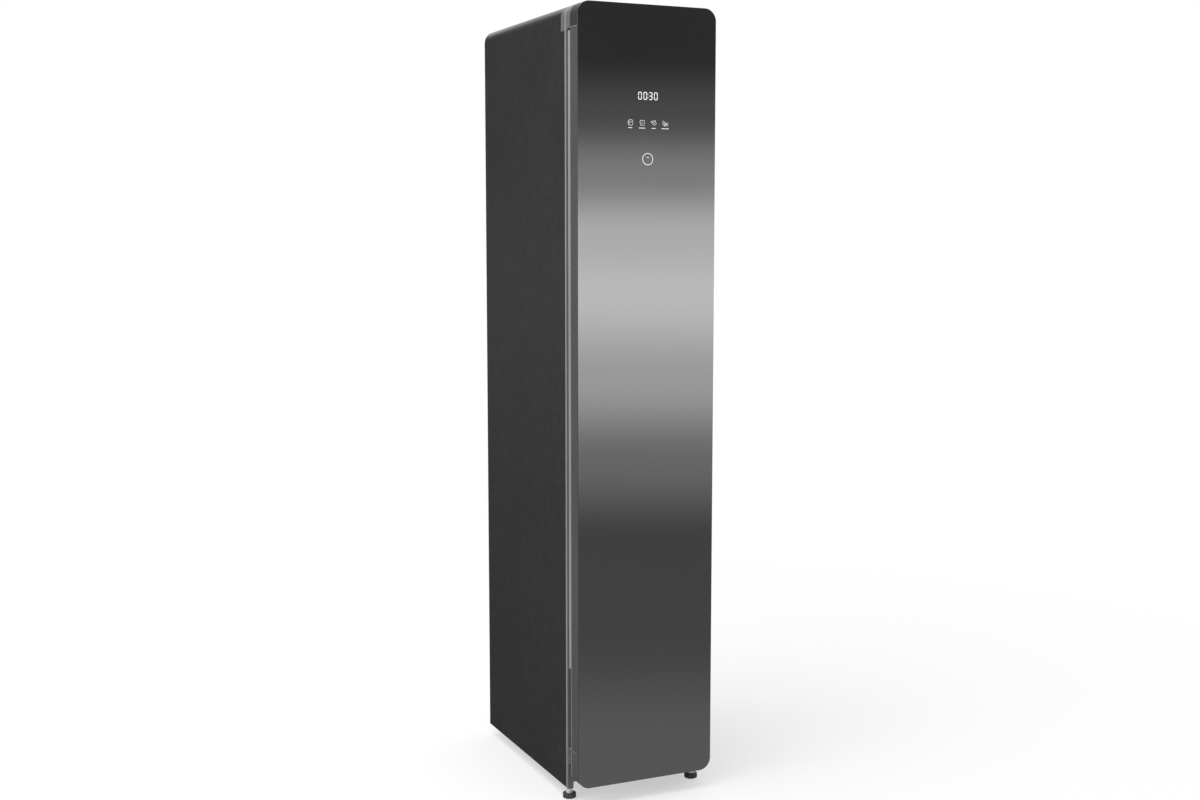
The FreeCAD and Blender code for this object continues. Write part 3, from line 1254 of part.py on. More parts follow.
def main():
    """Write every node."""
    os.makedirs("parts", exist_ok=True)
    save("door_glass", door_glass())
    save("door_left_profile", door_left_profile())
    save("door_right_profile", door_right_profile())
    save("door_top_cap", door_cap(HIGH_SLOT + HINGE_SLOT, HEIGHT, 0, CORNER_R))
    save("door_bottom_cap", door_cap(DOOR_LOW, LOW_SLOT, CORNER_R, 0))
    save("door_core", door_core())
    save("door_liner", door_liner())
    save("door_gasket", door_gasket())
    save("display_board", display_board())
    save("hinge_bushes", hinge_bushes())
    save("top_hinge", top_hinge())
    save("bottom_hinge", bottom_hinge())
    save("hinge_pins", hinge_pins())
    save("hinge_cover", hinge_cover())
    save("front_frame", front_frame())
    save("left_side_panel", side_panel(-1))
    save("right_side_panel", side_panel(1))
    save("top_cover", top_cover())
    save("back_panel", back_panel())
    save("power_inlet", power_inlet())
    save("base_plate", base_plate())
    save("insulation_panels", [insulation_slab(-1), insulation_slab(1), rear_insulation()])
    save("chamber_left_wall", chamber_side_wall(-1))
    save("chamber_right_wall", chamber_side_wall(1))
    save("chamber_rear_wall", chamber_rear_wall())
    save("chamber_ceiling", chamber_ceiling())
    save("chamber_floor", chamber_floor())
    save("chamber_lamp", chamber_lamp())
    save("shelf_supports", shelf_supports())
    save("shelf", shelf())
    save("lint_filter", lint_filter())
    save("steam_nozzle", steam_nozzle())
    save("carriage_rails", carriage_rails())
    save("hanger_carriage", hanger_carriage())
    save("drive_pinion", drive_pinion())
    save("motor_bridge", motor_bridge())
    save("drive_motor", drive_motor())
    save("hanger_bar", hanger_bar())
    save("garment_hangers", [garment_hanger(x) for x in hanger_places()])
    save("supply_tank", water_tank(-1))
    save("supply_tank_lid", tank_lid(-1))
    save("drain_tank", water_tank(1))
    save("drain_tank_lid", tank_lid(1))
    save("tank_bay", tank_bay())
    save("water_pumps", water_pumps())
    save("fan_housing", fan_housing())
    save("fan_motor", fan_motor())
    save("fan_rotor", fan_rotor())
    save("air_heater", air_heater())
    save("air_duct", air_duct())
    save("steam_boiler", steam_boiler())
    save("steam_hose", steam_hose())
    save("control_box", control_box())
    left_foot, right_foot = foot_places()
    save("left_front_foot", front_foot(left_foot))
    save("right_front_foot", front_foot(right_foot))
    save("foot_lock_nuts", foot_lock_nuts())
    left_roller, right_roller = roller_places()
    save("left_rear_roller", rear_roller(left_roller))
    save("right_rear_roller", rear_roller(right_roller))
    save("roller_brackets", roller_brackets())
    save("pan_head_screws", pan_head_screws())


main()
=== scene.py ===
"""Looks of the clothes care steam cabinet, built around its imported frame.

Lengths are metres in the frame's axes: +X is to the right seen from the front, +Y is to the back,
+Z is up, and the origin is on the floor under the middle of the cabinet.
"""
import json
import math

import bmesh
import bpy
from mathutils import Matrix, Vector

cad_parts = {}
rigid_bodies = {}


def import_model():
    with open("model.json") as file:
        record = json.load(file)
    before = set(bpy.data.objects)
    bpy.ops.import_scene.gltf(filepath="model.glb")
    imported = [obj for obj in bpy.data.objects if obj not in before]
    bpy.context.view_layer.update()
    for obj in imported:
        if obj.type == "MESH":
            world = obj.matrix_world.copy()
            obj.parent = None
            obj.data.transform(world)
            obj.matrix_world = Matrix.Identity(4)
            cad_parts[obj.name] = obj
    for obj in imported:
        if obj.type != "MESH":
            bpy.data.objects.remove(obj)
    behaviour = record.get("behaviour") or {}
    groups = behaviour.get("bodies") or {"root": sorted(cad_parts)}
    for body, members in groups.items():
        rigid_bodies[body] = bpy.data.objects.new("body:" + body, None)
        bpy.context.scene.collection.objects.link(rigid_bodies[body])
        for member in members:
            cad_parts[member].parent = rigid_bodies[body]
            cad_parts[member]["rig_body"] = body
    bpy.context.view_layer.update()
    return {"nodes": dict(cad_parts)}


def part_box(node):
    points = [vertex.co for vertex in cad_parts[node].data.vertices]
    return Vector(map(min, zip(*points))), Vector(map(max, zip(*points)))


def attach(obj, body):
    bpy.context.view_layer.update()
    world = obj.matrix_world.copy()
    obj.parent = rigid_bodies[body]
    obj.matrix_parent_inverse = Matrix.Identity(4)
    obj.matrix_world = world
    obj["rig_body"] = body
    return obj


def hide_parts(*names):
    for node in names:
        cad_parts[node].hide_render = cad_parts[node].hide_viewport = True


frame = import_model()
NODES = frame["nodes"]
MM = 0.001


# ---------------------------------------------------------------- meshes

SHARP_ANGLE = math.radians(35)
FLAT_ANGLE = math.radians(0.5)
SAME_POINT = 0.001 * MM
SAME_CAD_POINT = 0.002 * MM
EDGE_SEGMENTS = 2
SHADING_WEIGHT = 100
SHADING_THRESHOLD = 0.01
WIRE_ROUNDNESS = 4
CORNER_STEPS = 8
TURN_STEPS = 48


def show(piece, body, material):
    """Put a finished piece in the scene: its body and its material."""
    piece.data.materials.clear()
    piece.data.materials.append(material)
    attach(piece, body)
    return piece


def from_bmesh(name, shape, smooth=True):
    """New object from a bmesh, with outward faces and smooth shading up to the sharp angle."""
    bmesh.ops.recalc_face_normals(shape, faces=shape.faces)
    mesh = bpy.data.meshes.new(name)
    shape.to_mesh(mesh)
    shape.free()
    if smooth:
        mesh.shade_smooth()
        mesh.set_sharp_from_angle(angle=SHARP_ANGLE)
    piece = bpy.data.objects.new(name, mesh)
    bpy.context.scene.collection.objects.link(piece)
    return piece


def applied(piece):
    """Replace a piece's mesh by what its modifiers or its curve make of it."""
    bpy.context.view_layer.update()
    graph = bpy.context.evaluated_depsgraph_get()
    mesh = bpy.data.meshes.new_from_object(piece.evaluated_get(graph))
    name = piece.name
    solid = bpy.data.objects.new(name + "_piece", mesh)
    bpy.context.scene.collection.objects.link(solid)
    bpy.data.objects.remove(piece)
    solid.name = name
    return solid


def rounded(piece, radius):
    """Round a piece's sharp edges, and shade it by its large faces."""
    bevel = piece.modifiers.new("edges", "BEVEL")
    bevel.width = radius
    bevel.segments = EDGE_SEGMENTS
    bevel.limit_method = "ANGLE"
    bevel.angle_limit = SHARP_ANGLE
    piece.data.shade_smooth()
    shading = piece.modifiers.new("shading", "WEIGHTED_NORMAL")
    shading.mode = "FACE_AREA"
    shading.weight = SHADING_WEIGHT
    shading.thresh = SHADING_THRESHOLD
    return applied(piece)


def softened(node, radius):
    """Copy of a CAD node with its sharp edges rounded."""
    shape = bmesh.new()
    shape.from_mesh(NODES[node].data)
    bmesh.ops.remove_doubles(shape, verts=shape.verts, dist=SAME_CAD_POINT)
    bmesh.ops.dissolve_limit(shape, angle_limit=FLAT_ANGLE, verts=shape.verts, edges=shape.edges)
    return rounded(from_bmesh(node + "_body", shape, smooth=False), radius)


def dress(node, radius, material):
    """Show a CAD node as a piece with rounded edges in its place."""
    piece = softened(node, radius)
    show(piece, NODES[node]["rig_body"], material)
    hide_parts(node)


def prism(shape, points, y0, y1):
    """Flat plate with an outline of (x, z) points, from depth y0 to depth y1."""
    front = [shape.verts.new((x, y0, z)) for x, z in points]
    back = [shape.verts.new((x, y1, z)) for x, z in points]
    shape.faces.new(front)
    shape.faces.new(back[::-1])
    for index in range(len(points)):
        after = (index + 1) % len(points)
        shape.faces.new((front[index], back[index], back[after], front[after]))


def tube(name, points, radius):
    """Round wire through the given points."""
    curve = bpy.data.curves.new(name, "CURVE")
    curve.dimensions = "3D"
    curve.bevel_depth = radius
    curve.bevel_resolution = WIRE_ROUNDNESS
    curve.use_fill_caps = True
    spline = curve.splines.new("POLY")
    spline.points.add(len(points) - 1)
    for point, place in zip(spline.points, points):
        point.co = (*place, 1.0)
    piece = bpy.data.objects.new(name, curve)
    bpy.context.scene.collection.objects.link(piece)
    piece = applied(piece)
    piece.data.shade_smooth()
    return piece


def corner_outline(half, z0, z1, radius, steps=CORNER_STEPS):
    """(x, z) points round an upright rectangle with round corners."""
    points = []
    for corner, (side, top) in enumerate(((1, 1), (-1, 1), (-1, -1), (1, -1))):
        x = side * (half - radius)
        z = z1 - radius if top > 0 else z0 + radius
        for step in range(steps + 1):
            turn = math.pi / 2 * (corner + step / steps)
            points.append((x + radius * math.cos(turn), z + radius * math.sin(turn)))
    return points


def sleeve(shape, rings):
    """Faces between rings of points that follow each other, added to a bmesh."""
    loops = [[shape.verts.new(point) for point in ring] for ring in rings]
    for loop, after in zip(loops, loops[1:]):
        for index in range(len(loop)):
            far = (index + 1) % len(loop)
            shape.faces.new((loop[index], loop[far], after[far], after[index]))
    return loops


def loop_sweep(name, half, z0, z1, radius, section):
    """Ring of one closed section of (inset, y) points, run round an upright rectangle."""
    rings = []
    for inset, y in section:
        outline = corner_outline(half - inset, z0 + inset, z1 - inset, radius)
        rings.append([(x, y, z) for x, z in outline])
    shape = bmesh.new()
    sleeve(shape, rings + rings[:1])
    bmesh.ops.remove_doubles(shape, verts=shape.verts, dist=SAME_POINT)
    return from_bmesh(name, shape)


def turned(name, profile, x, y, steps=TURN_STEPS):
    """Solid turned about an upright line at (x, y): profile points are (radius, height)."""
    turns = [2 * math.pi * step / steps for step in range(steps)]
    shape = bmesh.new()
    loops = sleeve(shape, [[(x + radius * math.cos(turn), y + radius * math.sin(turn), z) for turn in turns]
                           for radius, z in profile])
    shape.faces.new(loops[0][::-1])
    shape.faces.new(loops[-1])
    return from_bmesh(name, shape)


# ---------------------------------------------------------------- materials

def add_node(tree, kind, **inputs):
    """New shader node with values for its sockets, named with _ in place of spaces."""
    node = tree.nodes.new("ShaderNode" + kind)
    for name, value in inputs.items():
        node.inputs[name.replace("_", " ")].default_value = value
    return node


def ranged(tree, value, low, high, out_low, out_high):
    """Spread a value from one range to another."""
    node = add_node(tree, "MapRange", From_Min=low, From_Max=high, To_Min=out_low, To_Max=out_high)
    tree.links.new(value, node.inputs["Value"])
    return node.outputs["Result"]


def calculate(tree, operation, first, second):
    """Math on two sockets or numbers."""
    node = add_node(tree, "Math")
    node.operation = operation
    for socket, value in zip(node.inputs, (first, second)):
        if isinstance(value, (int, float)):
            socket.default_value = value
        else:
            tree.links.new(value, socket)
    return node.outputs["Value"]


# scale of the slow drift and of the worn patches, per metre, and detail of the noises
DRIFT_SCALE = 4.0
WORN_SCALE = 60.0
SLOW_DETAIL = 3.0
FINE_DETAIL = 4.0
# where a noise counts as low and as high: for tone and grain, for soft marks and for worn patches
NOISE_SPAN = (0.3, 0.7)
MARK_SPAN = (0.35, 0.65)
WORN_SPAN = (0.4, 0.6)
# how convex an edge is where wear starts and where it is full
EDGE_SPAN = (0.52, 0.6)


def noise(tree, place, scale, detail=SLOW_DETAIL):
    """Noise value over the piece."""
    node = add_node(tree, "TexNoise", Scale=scale, Detail=detail)
    tree.links.new(place, node.inputs["Vector"])
    return node.outputs["Fac"]


def surface(name, colour, roughness, metallic=0.0, specular=0.5, drift=0.05, spread=0.06, grain=900.0,
            relief=0.02, stretch=(1.0, 1.0, 1.0), wear=0.0):
    """Moulded, painted or metal surface: slow colour drift, fine grain, soft marks and paler edges."""
    material = bpy.data.materials.new(name)
    material.use_nodes = True
    tree = material.node_tree
    shader = tree.nodes["Principled BSDF"]
    shader.inputs["Metallic"].default_value = metallic
    shader.inputs["Specular IOR Level"].default_value = specular
    place = add_node(tree, "TexCoord")
    mapping = add_node(tree, "Mapping", Scale=stretch)
    tree.links.new(place.outputs["Object"], mapping.inputs["Vector"])
    slow = noise(tree, place.outputs["Object"], DRIFT_SCALE)
    fine = noise(tree, mapping.outputs["Vector"], grain, FINE_DETAIL)
    tone = ranged(tree, slow, *NOISE_SPAN, 1 - drift, 1 + drift)
    fine_tone = ranged(tree, fine, *NOISE_SPAN, 1 - drift / 2, 1 + drift / 2)
    tone = calculate(tree, "MULTIPLY", tone, fine_tone)
    if wear > 0:
        geometry = add_node(tree, "NewGeometry")
        edge = ranged(tree, geometry.outputs["Pointiness"], *EDGE_SPAN, 0, wear)
        patches = ranged(tree, noise(tree, place.outputs["Object"], WORN_SCALE), *WORN_SPAN, 0, 1)
        tone = calculate(tree, "ADD", tone, calculate(tree, "MULTIPLY", edge, patches))
    paint = add_node(tree, "VectorMath")
    paint.operation = "SCALE"
    paint.inputs[0].default_value = colour
    tree.links.new(tone, paint.inputs["Scale"])
    tree.links.new(paint.outputs["Vector"], shader.inputs["Base Color"])
    marks = ranged(tree, slow, *MARK_SPAN, -spread / 2, spread / 2)
    speckle = ranged(tree, fine, *NOISE_SPAN, roughness - spread / 2, roughness + spread / 2)
    tree.links.new(calculate(tree, "ADD", marks, speckle), shader.inputs["Roughness"])
    if relief > 0:
        bump = add_node(tree, "Bump", Strength=relief, Distance=MM)
        tree.links.new(fine, bump.inputs["Height"])
        tree.links.new(bump.outputs["Normal"], shader.inputs["Normal"])
    return material


def light_print(name, level):
    """White marking lit from behind."""
    material = surface(name, (0.85, 0.86, 0.88), 0.4, drift=0.02, relief=0.0)
    shader = material.node_tree.nodes["Principled BSDF"]
    shader.inputs["Emission Color"].default_value = (0.93, 0.95, 1.0, 1.0)
    shader.inputs["Emission Strength"].default_value = level
    return material


def clear_plastic(name, colour, through):
    """Tinted see-through plastic."""
    material = surface(name, colour, 0.16, spread=0.04, relief=0.01)
    shader = material.node_tree.nodes["Principled BSDF"]
    shader.inputs["Transmission Weight"].default_value = through
    shader.inputs["IOR"].default_value = 1.46
    return material


# grain drawn out along the height
UPRIGHT = (1.0, 1.0, 0.03)
LOOKS = {
    "glass": surface("mirror_glass", (0.485, 0.485, 0.49), 0.035, metallic=1.0, drift=0.01, spread=0.012,
                     relief=0.0),
    "glass_edge": surface("glass_edge", (0.05, 0.055, 0.055), 0.2, drift=0.03, relief=0.0),
    "door_trim": surface("satin_trim", (0.08, 0.08, 0.08), 0.4, specular=0.35, grain=700, stretch=UPRIGHT,
                         wear=0.1),
    "door_caps": surface("cap_plastic", (0.085, 0.085, 0.085), 0.42, specular=0.35, grain=1400, relief=0.05,
                         wear=0.1),
    "liner": surface("liner_plastic", (0.62, 0.63, 0.64), 0.4, drift=0.02, grain=1500, relief=0.03),
    "seal": surface("seal_rubber", (0.3, 0.3, 0.302), 0.55, grain=1200, relief=0.06),
    "circuit": surface("circuit_board", (0.03, 0.09, 0.05), 0.4, drift=0.2, grain=400),
    "foam": surface("foam", (0.85, 0.82, 0.72), 0.9, specular=0.2, grain=500, relief=0.3),
    "bush": surface("bush_plastic", (0.8, 0.8, 0.78), 0.35),
    # the hinge arms' light grey is partly painted light: steel lightened to stand in for glints where the
    # arms show between the door's caps and side profiles
    "hinge_steel": surface("hinge_steel", (0.26, 0.26, 0.265), 0.4, metallic=0.5, wear=0.3),
    "foot_zinc": surface("foot_zinc", (0.75, 0.75, 0.76), 0.4, metallic=0.2, grain=1500, relief=0.02),
    "foot_knob": surface("foot_knob", (0.05, 0.05, 0.052), 0.4, grain=1300, relief=0.05, wear=0.4),
    "bright_steel": surface("bright_steel", (0.62, 0.62, 0.63), 0.28, metallic=1.0, grain=1500, relief=0.02),
    # the frame's grey is darker than the hinge cover's, which is the same plastic: painted shade of the gap
    # behind the door
    "frame_plastic": surface("frame_plastic", (0.105, 0.105, 0.106), 0.38, grain=1400, relief=0.04,
                             wear=0.08),
    "panel_paint": surface("panel_paint", (0.032, 0.032, 0.032), 0.26, specular=0.2, grain=2600, relief=0.06,
                           wear=0.1),
    # light grey of the seam bead: a painted highlight of the panels' rounded front edge
    "bead_painted_highlight": surface("panel_bead_painted_highlight", (0.3, 0.3, 0.3), 0.35, stretch=UPRIGHT),
    # light grey of the liner lip: a painted highlight of the door's rounded back edge
    "lip": surface("liner_lip", (0.27, 0.27, 0.27), 0.4, grain=1500, relief=0.03),
    "cover_plastic": surface("cover_plastic", (0.14, 0.14, 0.142), 0.38, grain=1400, relief=0.04, wear=0.08),
    # the top cap is darker than the bottom cap, which is the same plastic: painted shade at the top of the
    # door
    "top_cap_painted_shade": surface("cap_plastic_painted_shade", (0.042, 0.042, 0.042), 0.42, specular=0.35, grain=1400,
                       relief=0.05, wear=0.1),
    "zinc": surface("zinc_sheet", (0.52, 0.53, 0.54), 0.42, metallic=0.45, grain=160),
    "black_plastic": surface("black_plastic", (0.03, 0.03, 0.032), 0.45, grain=1300, relief=0.05, wear=0.4),
    "lamp_lens": light_print("lamp_lens", 0.6),
    "steam_steel": surface("steam_steel", (0.6, 0.6, 0.6), 0.25, metallic=1.0, grain=1800, stretch=UPRIGHT),
    "motor_steel": surface("motor_steel", (0.35, 0.36, 0.37), 0.38, metallic=0.9, grain=1200),
    "heater_fins": surface("heater_fins", (0.7, 0.7, 0.71), 0.35, metallic=1.0),
    "hose_rubber": surface("hose_rubber", (0.55, 0.56, 0.56), 0.5),
    "grey_plastic": surface("grey_plastic", (0.35, 0.35, 0.36), 0.45, grain=1300, relief=0.05),
    "tank_plastic": clear_plastic("tank_plastic", (0.3, 0.34, 0.38), 0.55),
    "lid_plastic": surface("lid_plastic", (0.12, 0.12, 0.13), 0.4, grain=1300, relief=0.04),
    "print": light_print("display_print", 0.5),
    "icon": light_print("icon_print", 0.22),
}


# ---------------------------------------------------------------- door

DOOR_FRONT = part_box("door_glass")[0].y
DOOR_CORNER = 29 * MM
PRINT_DEPTH = 0.06 * MM
ARRIS = 0.5 * MM
GLASS_CORNER_STEPS = 16

# section of the seal: how far its outer side stands out, its width, and the depth of its folds
SEAL_BULGE = 3.4 * MM
SEAL_WIDTH = 12 * MM
SEAL_FOLD = 1.4 * MM
SEAL_CORNER = 0.8 * MM
# (folds in from that side, share of the seal's depth), from the door to the cabinet
SEAL_OUTSIDE = ((0, 0.12), (0, 0.3), (1, 0.38), (1, 0.48), (0, 0.56), (0, 0.84), (1, 1.0))
SEAL_INSIDE = ((0, 0), (0, 0.2), (1, 0.28), (1, 0.42), (0, 0.5), (0, 0.58), (1, 0.66), (0.6, 0.9),
               (1.4, 1.0))

# bead on the panels' front seam, whose light grey is a painted highlight: its ends in depth behind the
# glass's face
BEAD_FROM = 66.5 * MM
BEAD_TO = 71.4 * MM
BEAD_T = 1.2 * MM
BEAD_PROUD = 0.12 * MM
ARC_STEPS = 12

# lip of the liner, whose light grey is a painted highlight of the door's back edge: its ends in depth, and
# where it stops at the hinge arms
LIP_FROM = 42.4 * MM
LIP_TO = 44.6 * MM
LIP_T = 3.0 * MM
LIP_INSET = 0.3 * MM
LIP_END = 120 * MM
LIP_BELOW_ARM = 5 * MM
LIP_OFF_ARM = 2 * MM


def mirror_glass():
    """Glass sheet of the door with ground edges; its face stands just behind the printed marks."""
    low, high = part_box("door_glass")
    front = low.y + PRINT_DEPTH
    steps = ((ARRIS, front), (0, front + ARRIS), (0, high.y - ARRIS), (ARRIS, high.y))
    rings = []
    for inset, y in steps:
        outline = corner_outline(high.x - inset, low.z + inset, high.z - inset, DOOR_CORNER - inset,
                                 GLASS_CORNER_STEPS)
        rings.append([(x, y, z) for x, z in outline])
    rim = bmesh.new()
    sleeve(rim, rings)
    sheet = bmesh.new()
    for ring in (rings[0], rings[-1][::-1]):
        sheet.faces.new([sheet.verts.new(point) for point in ring])
    for name, shape, look in (("door_glass_sheet", sheet, "glass"), ("door_glass_rim", rim, "glass_edge")):
        piece = show(from_bmesh(name, shape), "door", LOOKS[look])
        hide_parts("door_glass")


def gasket():
    """Magnetic seal: a ribbed bellows with a soft lip that meets the cabinet."""
    low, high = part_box("door_gasket")
    deep = high.y - low.y
    section = [(0, low.y)]
    section += [(SEAL_FOLD * folds - SEAL_BULGE, low.y + deep * share) for folds, share in SEAL_OUTSIDE]
    section += [(SEAL_WIDTH - SEAL_FOLD * folds, low.y + deep * share) for folds, share in SEAL_INSIDE[::-1]]
    piece = loop_sweep("seal_ring", high.x, low.z + SEAL_BULGE, high.z - SEAL_BULGE, SEAL_CORNER, section)
    show(piece, "door", LOOKS["seal"])
    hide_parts("door_gasket")


def band(name, path, y0, y1, thick):
    """Flat strip from depth y0 to y1; path(inset) gives its (x, z) points, inset from its face."""
    corners = ((0, y0), (0, y1), (thick, y1), (thick, y0))
    sides = [[(x, y, z) for x, z in path(inset)] for inset, y in corners]
    shape = bmesh.new()
    loops = sleeve(shape, list(zip(*sides)))
    shape.faces.new(loops[0])
    shape.faces.new(loops[-1][::-1])
    return from_bmesh(name, shape)


def panel_bead_painted_highlight():
    """Bead along the seam where the side panels and the top meet the front frame; its light grey is a painted
    highlight of their rounded front edge.
    """
    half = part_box("right_side_panel")[1].x + BEAD_PROUD
    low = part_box("front_frame")[0].z
    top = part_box("top_cover")[1].z + BEAD_PROUD

    def path(inset):
        outline = corner_outline(half - inset, low, top - inset, DOOR_CORNER - inset, ARC_STEPS)
        upper_arcs = outline[:2 * (ARC_STEPS + 1)]
        return [(half - inset, low)] + upper_arcs + [(inset - half, low)]

    piece = band("panel_bead_painted_highlight", path, DOOR_FRONT + BEAD_FROM, DOOR_FRONT + BEAD_TO, BEAD_T)
    show(piece, "cabinet", LOOKS["bead_painted_highlight"])


def liner_lip():
    """Rolled lip of the door liner round the back edge of the door, with gaps for the hinge arms; its light
    grey is a painted highlight of that edge.
    """
    low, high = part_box("door_glass")
    half = high.x - LIP_INSET
    arm_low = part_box("bottom_hinge")[1].z
    arm_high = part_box("hinge_cover")[0].z

    def round_path(inset):
        outline = corner_outline(half - inset, low.z + LIP_INSET + inset, high.z - LIP_INSET - inset,
                                 DOOR_CORNER - LIP_INSET - inset, ARC_STEPS)
        arc = ARC_STEPS + 1
        return ([(inset - half, arm_low - LIP_BELOW_ARM)] + outline[2 * arc:] + outline[:arc]
                + [(-LIP_END, high.z - LIP_INSET - inset)])

    def side_path(inset):
        return [(inset - half, arm_low + LIP_OFF_ARM), (inset - half, arm_high - LIP_OFF_ARM)]

    for name, path in (("liner_lip_round", round_path), ("liner_lip_hinge_side", side_path)):
        piece = band(name, path, DOOR_FRONT + LIP_FROM, DOOR_FRONT + LIP_TO, LIP_T)
        show(piece, "door", LOOKS["lip"])


# ---------------------------------------------------------------- clock and marks on the glass

CLOCK_TEXT = "0030"
CLOCK_Z = 1646.8 * MM
DIGIT_W = 8.9 * MM
DIGIT_H = 17.2 * MM
DIGIT_PITCH = 13.3 * MM
STROKE = 1.55 * MM
SEGMENT_GAP = 0.3 * MM
COLON_RISE = 4.2 * MM
# segments by letter: a at the top, clockwise to f, and g in the middle
SEGMENTS = {"0": "abcdef", "3": "abcdg"}
# half widths right and half heights up from the middle of the digit, and whether it stands upright
SEGMENT_PLACES = {"a": (0, 2, False), "b": (1, 1, True), "c": (1, -1, True), "d": (0, -2, False),
                  "e": (-1, -1, True), "f": (-1, 1, True), "g": (0, 0, False)}

ICON_Z = 1585.8 * MM
ICON_PITCH = 29.3 * MM
ICON_LINE = 0.85 * MM
ICON_SIZE = 0.86
ICON_RISE = 0.6
BAR_DROP = 11.0 * MM
BAR_LINE = 1.4 * MM
RING_Z = 1505.3 * MM
RING_LINE = 1.4 * MM
RING_STEPS = 64
# a line's depth against the depth of the print
LINE_DEPTH = 1.9
# radius of the touch ring in millimetres, as its strokes are
RING_R = 12.9
RING_DASH = [(-2.8, 4), (2.8, 4)]

# strokes of the marks in millimetres, and half the length of the bar under each
JACKET = [[(-3, 7), (4, 7), (7, 5), (7, -4), (4, -7), (-3, -7), (-6, -4), (-7, 1), (-5, 5), (-3, 7)],
          [(-7, 1), (-4, 2), (-4, -3), (-6, -4)], [(-1, 3), (0, -1), (3, 3)]]
SHIRT = [[(-3, 7), (0, 5), (3, 7), (7, 6), (6, 1), (7, -6), (-4, -7), (-4, -1), (-7, 2), (-5, 4), (-4, 7),
          (-3, 7)], [(-1, 1), (0, -3), (2, 1)]]
FOLDED = [[(-8, 4), (0, 6), (4, 4), (8, -1), (3, -6), (0, -3)],
          [(-8, 4), (-7, 1), (-1, 2), (2, 0), (-4, -4)], [(4, 4), (6, 8)]]
LEAF = [[(-7, 1), (-6, 7), (-2, 4), (1, 0), (-2, -6), (-6, -4), (-7, 1)], [(-4, 2), (-2, -2)],
        [(-2, -6), (3, 0), (8, 2), (8, -6), (-2, -6)], [(1, -4), (6, -1)]]
MARKS = ((JACKET, 5), (SHIRT, 8), (FOLDED, 5), (LEAF, 9))


def bar_points(x, z, length, width, upright):
    """Outline of one clock segment: a bar with pointed ends."""
    reach = length / 2 - SEGMENT_GAP
    thick = width / 2
    outline = [(-reach, 0), (-reach + thick, thick), (reach - thick, thick), (reach, 0),
               (reach - thick, -thick), (-reach + thick, -thick)]
    if upright:
        outline = [(-b, a) for a, b in outline]
    return [(x + a, z + b) for a, b in outline]


def clock():
    """Four seven-segment digits and a colon, as thin lit plates."""
    wide = DIGIT_W - STROKE
    tall = (DIGIT_H - STROKE) / 2
    outlines = []
    for index, digit in enumerate(CLOCK_TEXT):
        middle = (index - 1.5) * DIGIT_PITCH
        for letter in SEGMENTS[digit]:
            right, up, upright = SEGMENT_PLACES[letter]
            x = middle + right * wide / 2
            z = CLOCK_Z + up * tall / 2
            outlines.append(bar_points(x, z, tall if upright else wide, STROKE, upright))
    for z in (CLOCK_Z - COLON_RISE, CLOCK_Z + COLON_RISE):
        outlines.append([(-STROKE / 2, z - STROKE / 2), (STROKE / 2, z - STROKE / 2),
                         (STROKE / 2, z + STROKE / 2), (-STROKE / 2, z + STROKE / 2)])
    shape = bmesh.new()
    for outline in outlines:
        prism(shape, outline, DOOR_FRONT, DOOR_FRONT + 2 * PRINT_DEPTH)
    show(from_bmesh("clock_digits", shape, smooth=False), "door", LOOKS["print"])


def line_mark(name, strokes, x, z, width):
    """Thin line drawing on the glass; strokes are lists of (x, z) points in millimetres."""
    middle = DOOR_FRONT + PRINT_DEPTH
    shape = bmesh.new()
    for index, stroke in enumerate(strokes):
        points = [(x + a * MM, middle, z + b * MM) for a, b in stroke]
        wire = tube("%s_%d" % (name, index), points, width / 2)
        shape.from_mesh(wire.data)
        bpy.data.objects.remove(wire)
    for vertex in shape.verts:
        vertex.co.y = middle + (vertex.co.y - middle) * LINE_DEPTH * PRINT_DEPTH / width
    show(from_bmesh(name, shape), "door", LOOKS["icon"])


def glass_marks():
    """Four small garment marks, each over a plain bar, and the touch ring below them."""
    for index, (strokes, reach) in enumerate(MARKS):
        x = (index - 1.5) * ICON_PITCH
        drawing = [[(a * ICON_SIZE, b * ICON_SIZE + ICON_RISE) for a, b in stroke] for stroke in strokes]
        line_mark("garment_mark_%d" % index, drawing, x, ICON_Z, ICON_LINE)
        line_mark("mark_bar_%d" % index, [[(-reach, 0), (reach, 0)]], x, ICON_Z - BAR_DROP, BAR_LINE)
    turns = [2 * math.pi * step / RING_STEPS for step in range(RING_STEPS + 1)]
    ring = [(RING_R * math.cos(turn), RING_R * math.sin(turn)) for turn in turns]
    line_mark("touch_ring", [ring, RING_DASH], 0, RING_Z, RING_LINE)


# ---------------------------------------------------------------- garment hangers

BAR_LOW, BAR_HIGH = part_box("hanger_bar")
HANGER_LOW, HANGER_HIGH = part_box("garment_hangers")
COLLAR_R = 13 * MM
HOOK_R = 12.8 * MM
HOOK_WIRE = 2.3 * MM
HANGER_PITCH = 100 * MM
HANGER_DROP = 95 * MM
HANGER_ARM = 16 * MM
YOKE_DROP = 30.3 * MM
ARM_STEPS = 48
ARM_SIDES = 16
# size of the arm's section at its very tips, and how far a section leans with the bow
ARM_TIP = 0.04
ARM_LEAN = 0.6
# the hook's neck is straight up to this far below the bend, and then steps over to it
NECK_STRAIGHT = 3 * MM
NECK_CURVE = 0.6 * MM
NECK_STEP = 1 * MM
HOOK_TURN = range(-80, 181, 10)


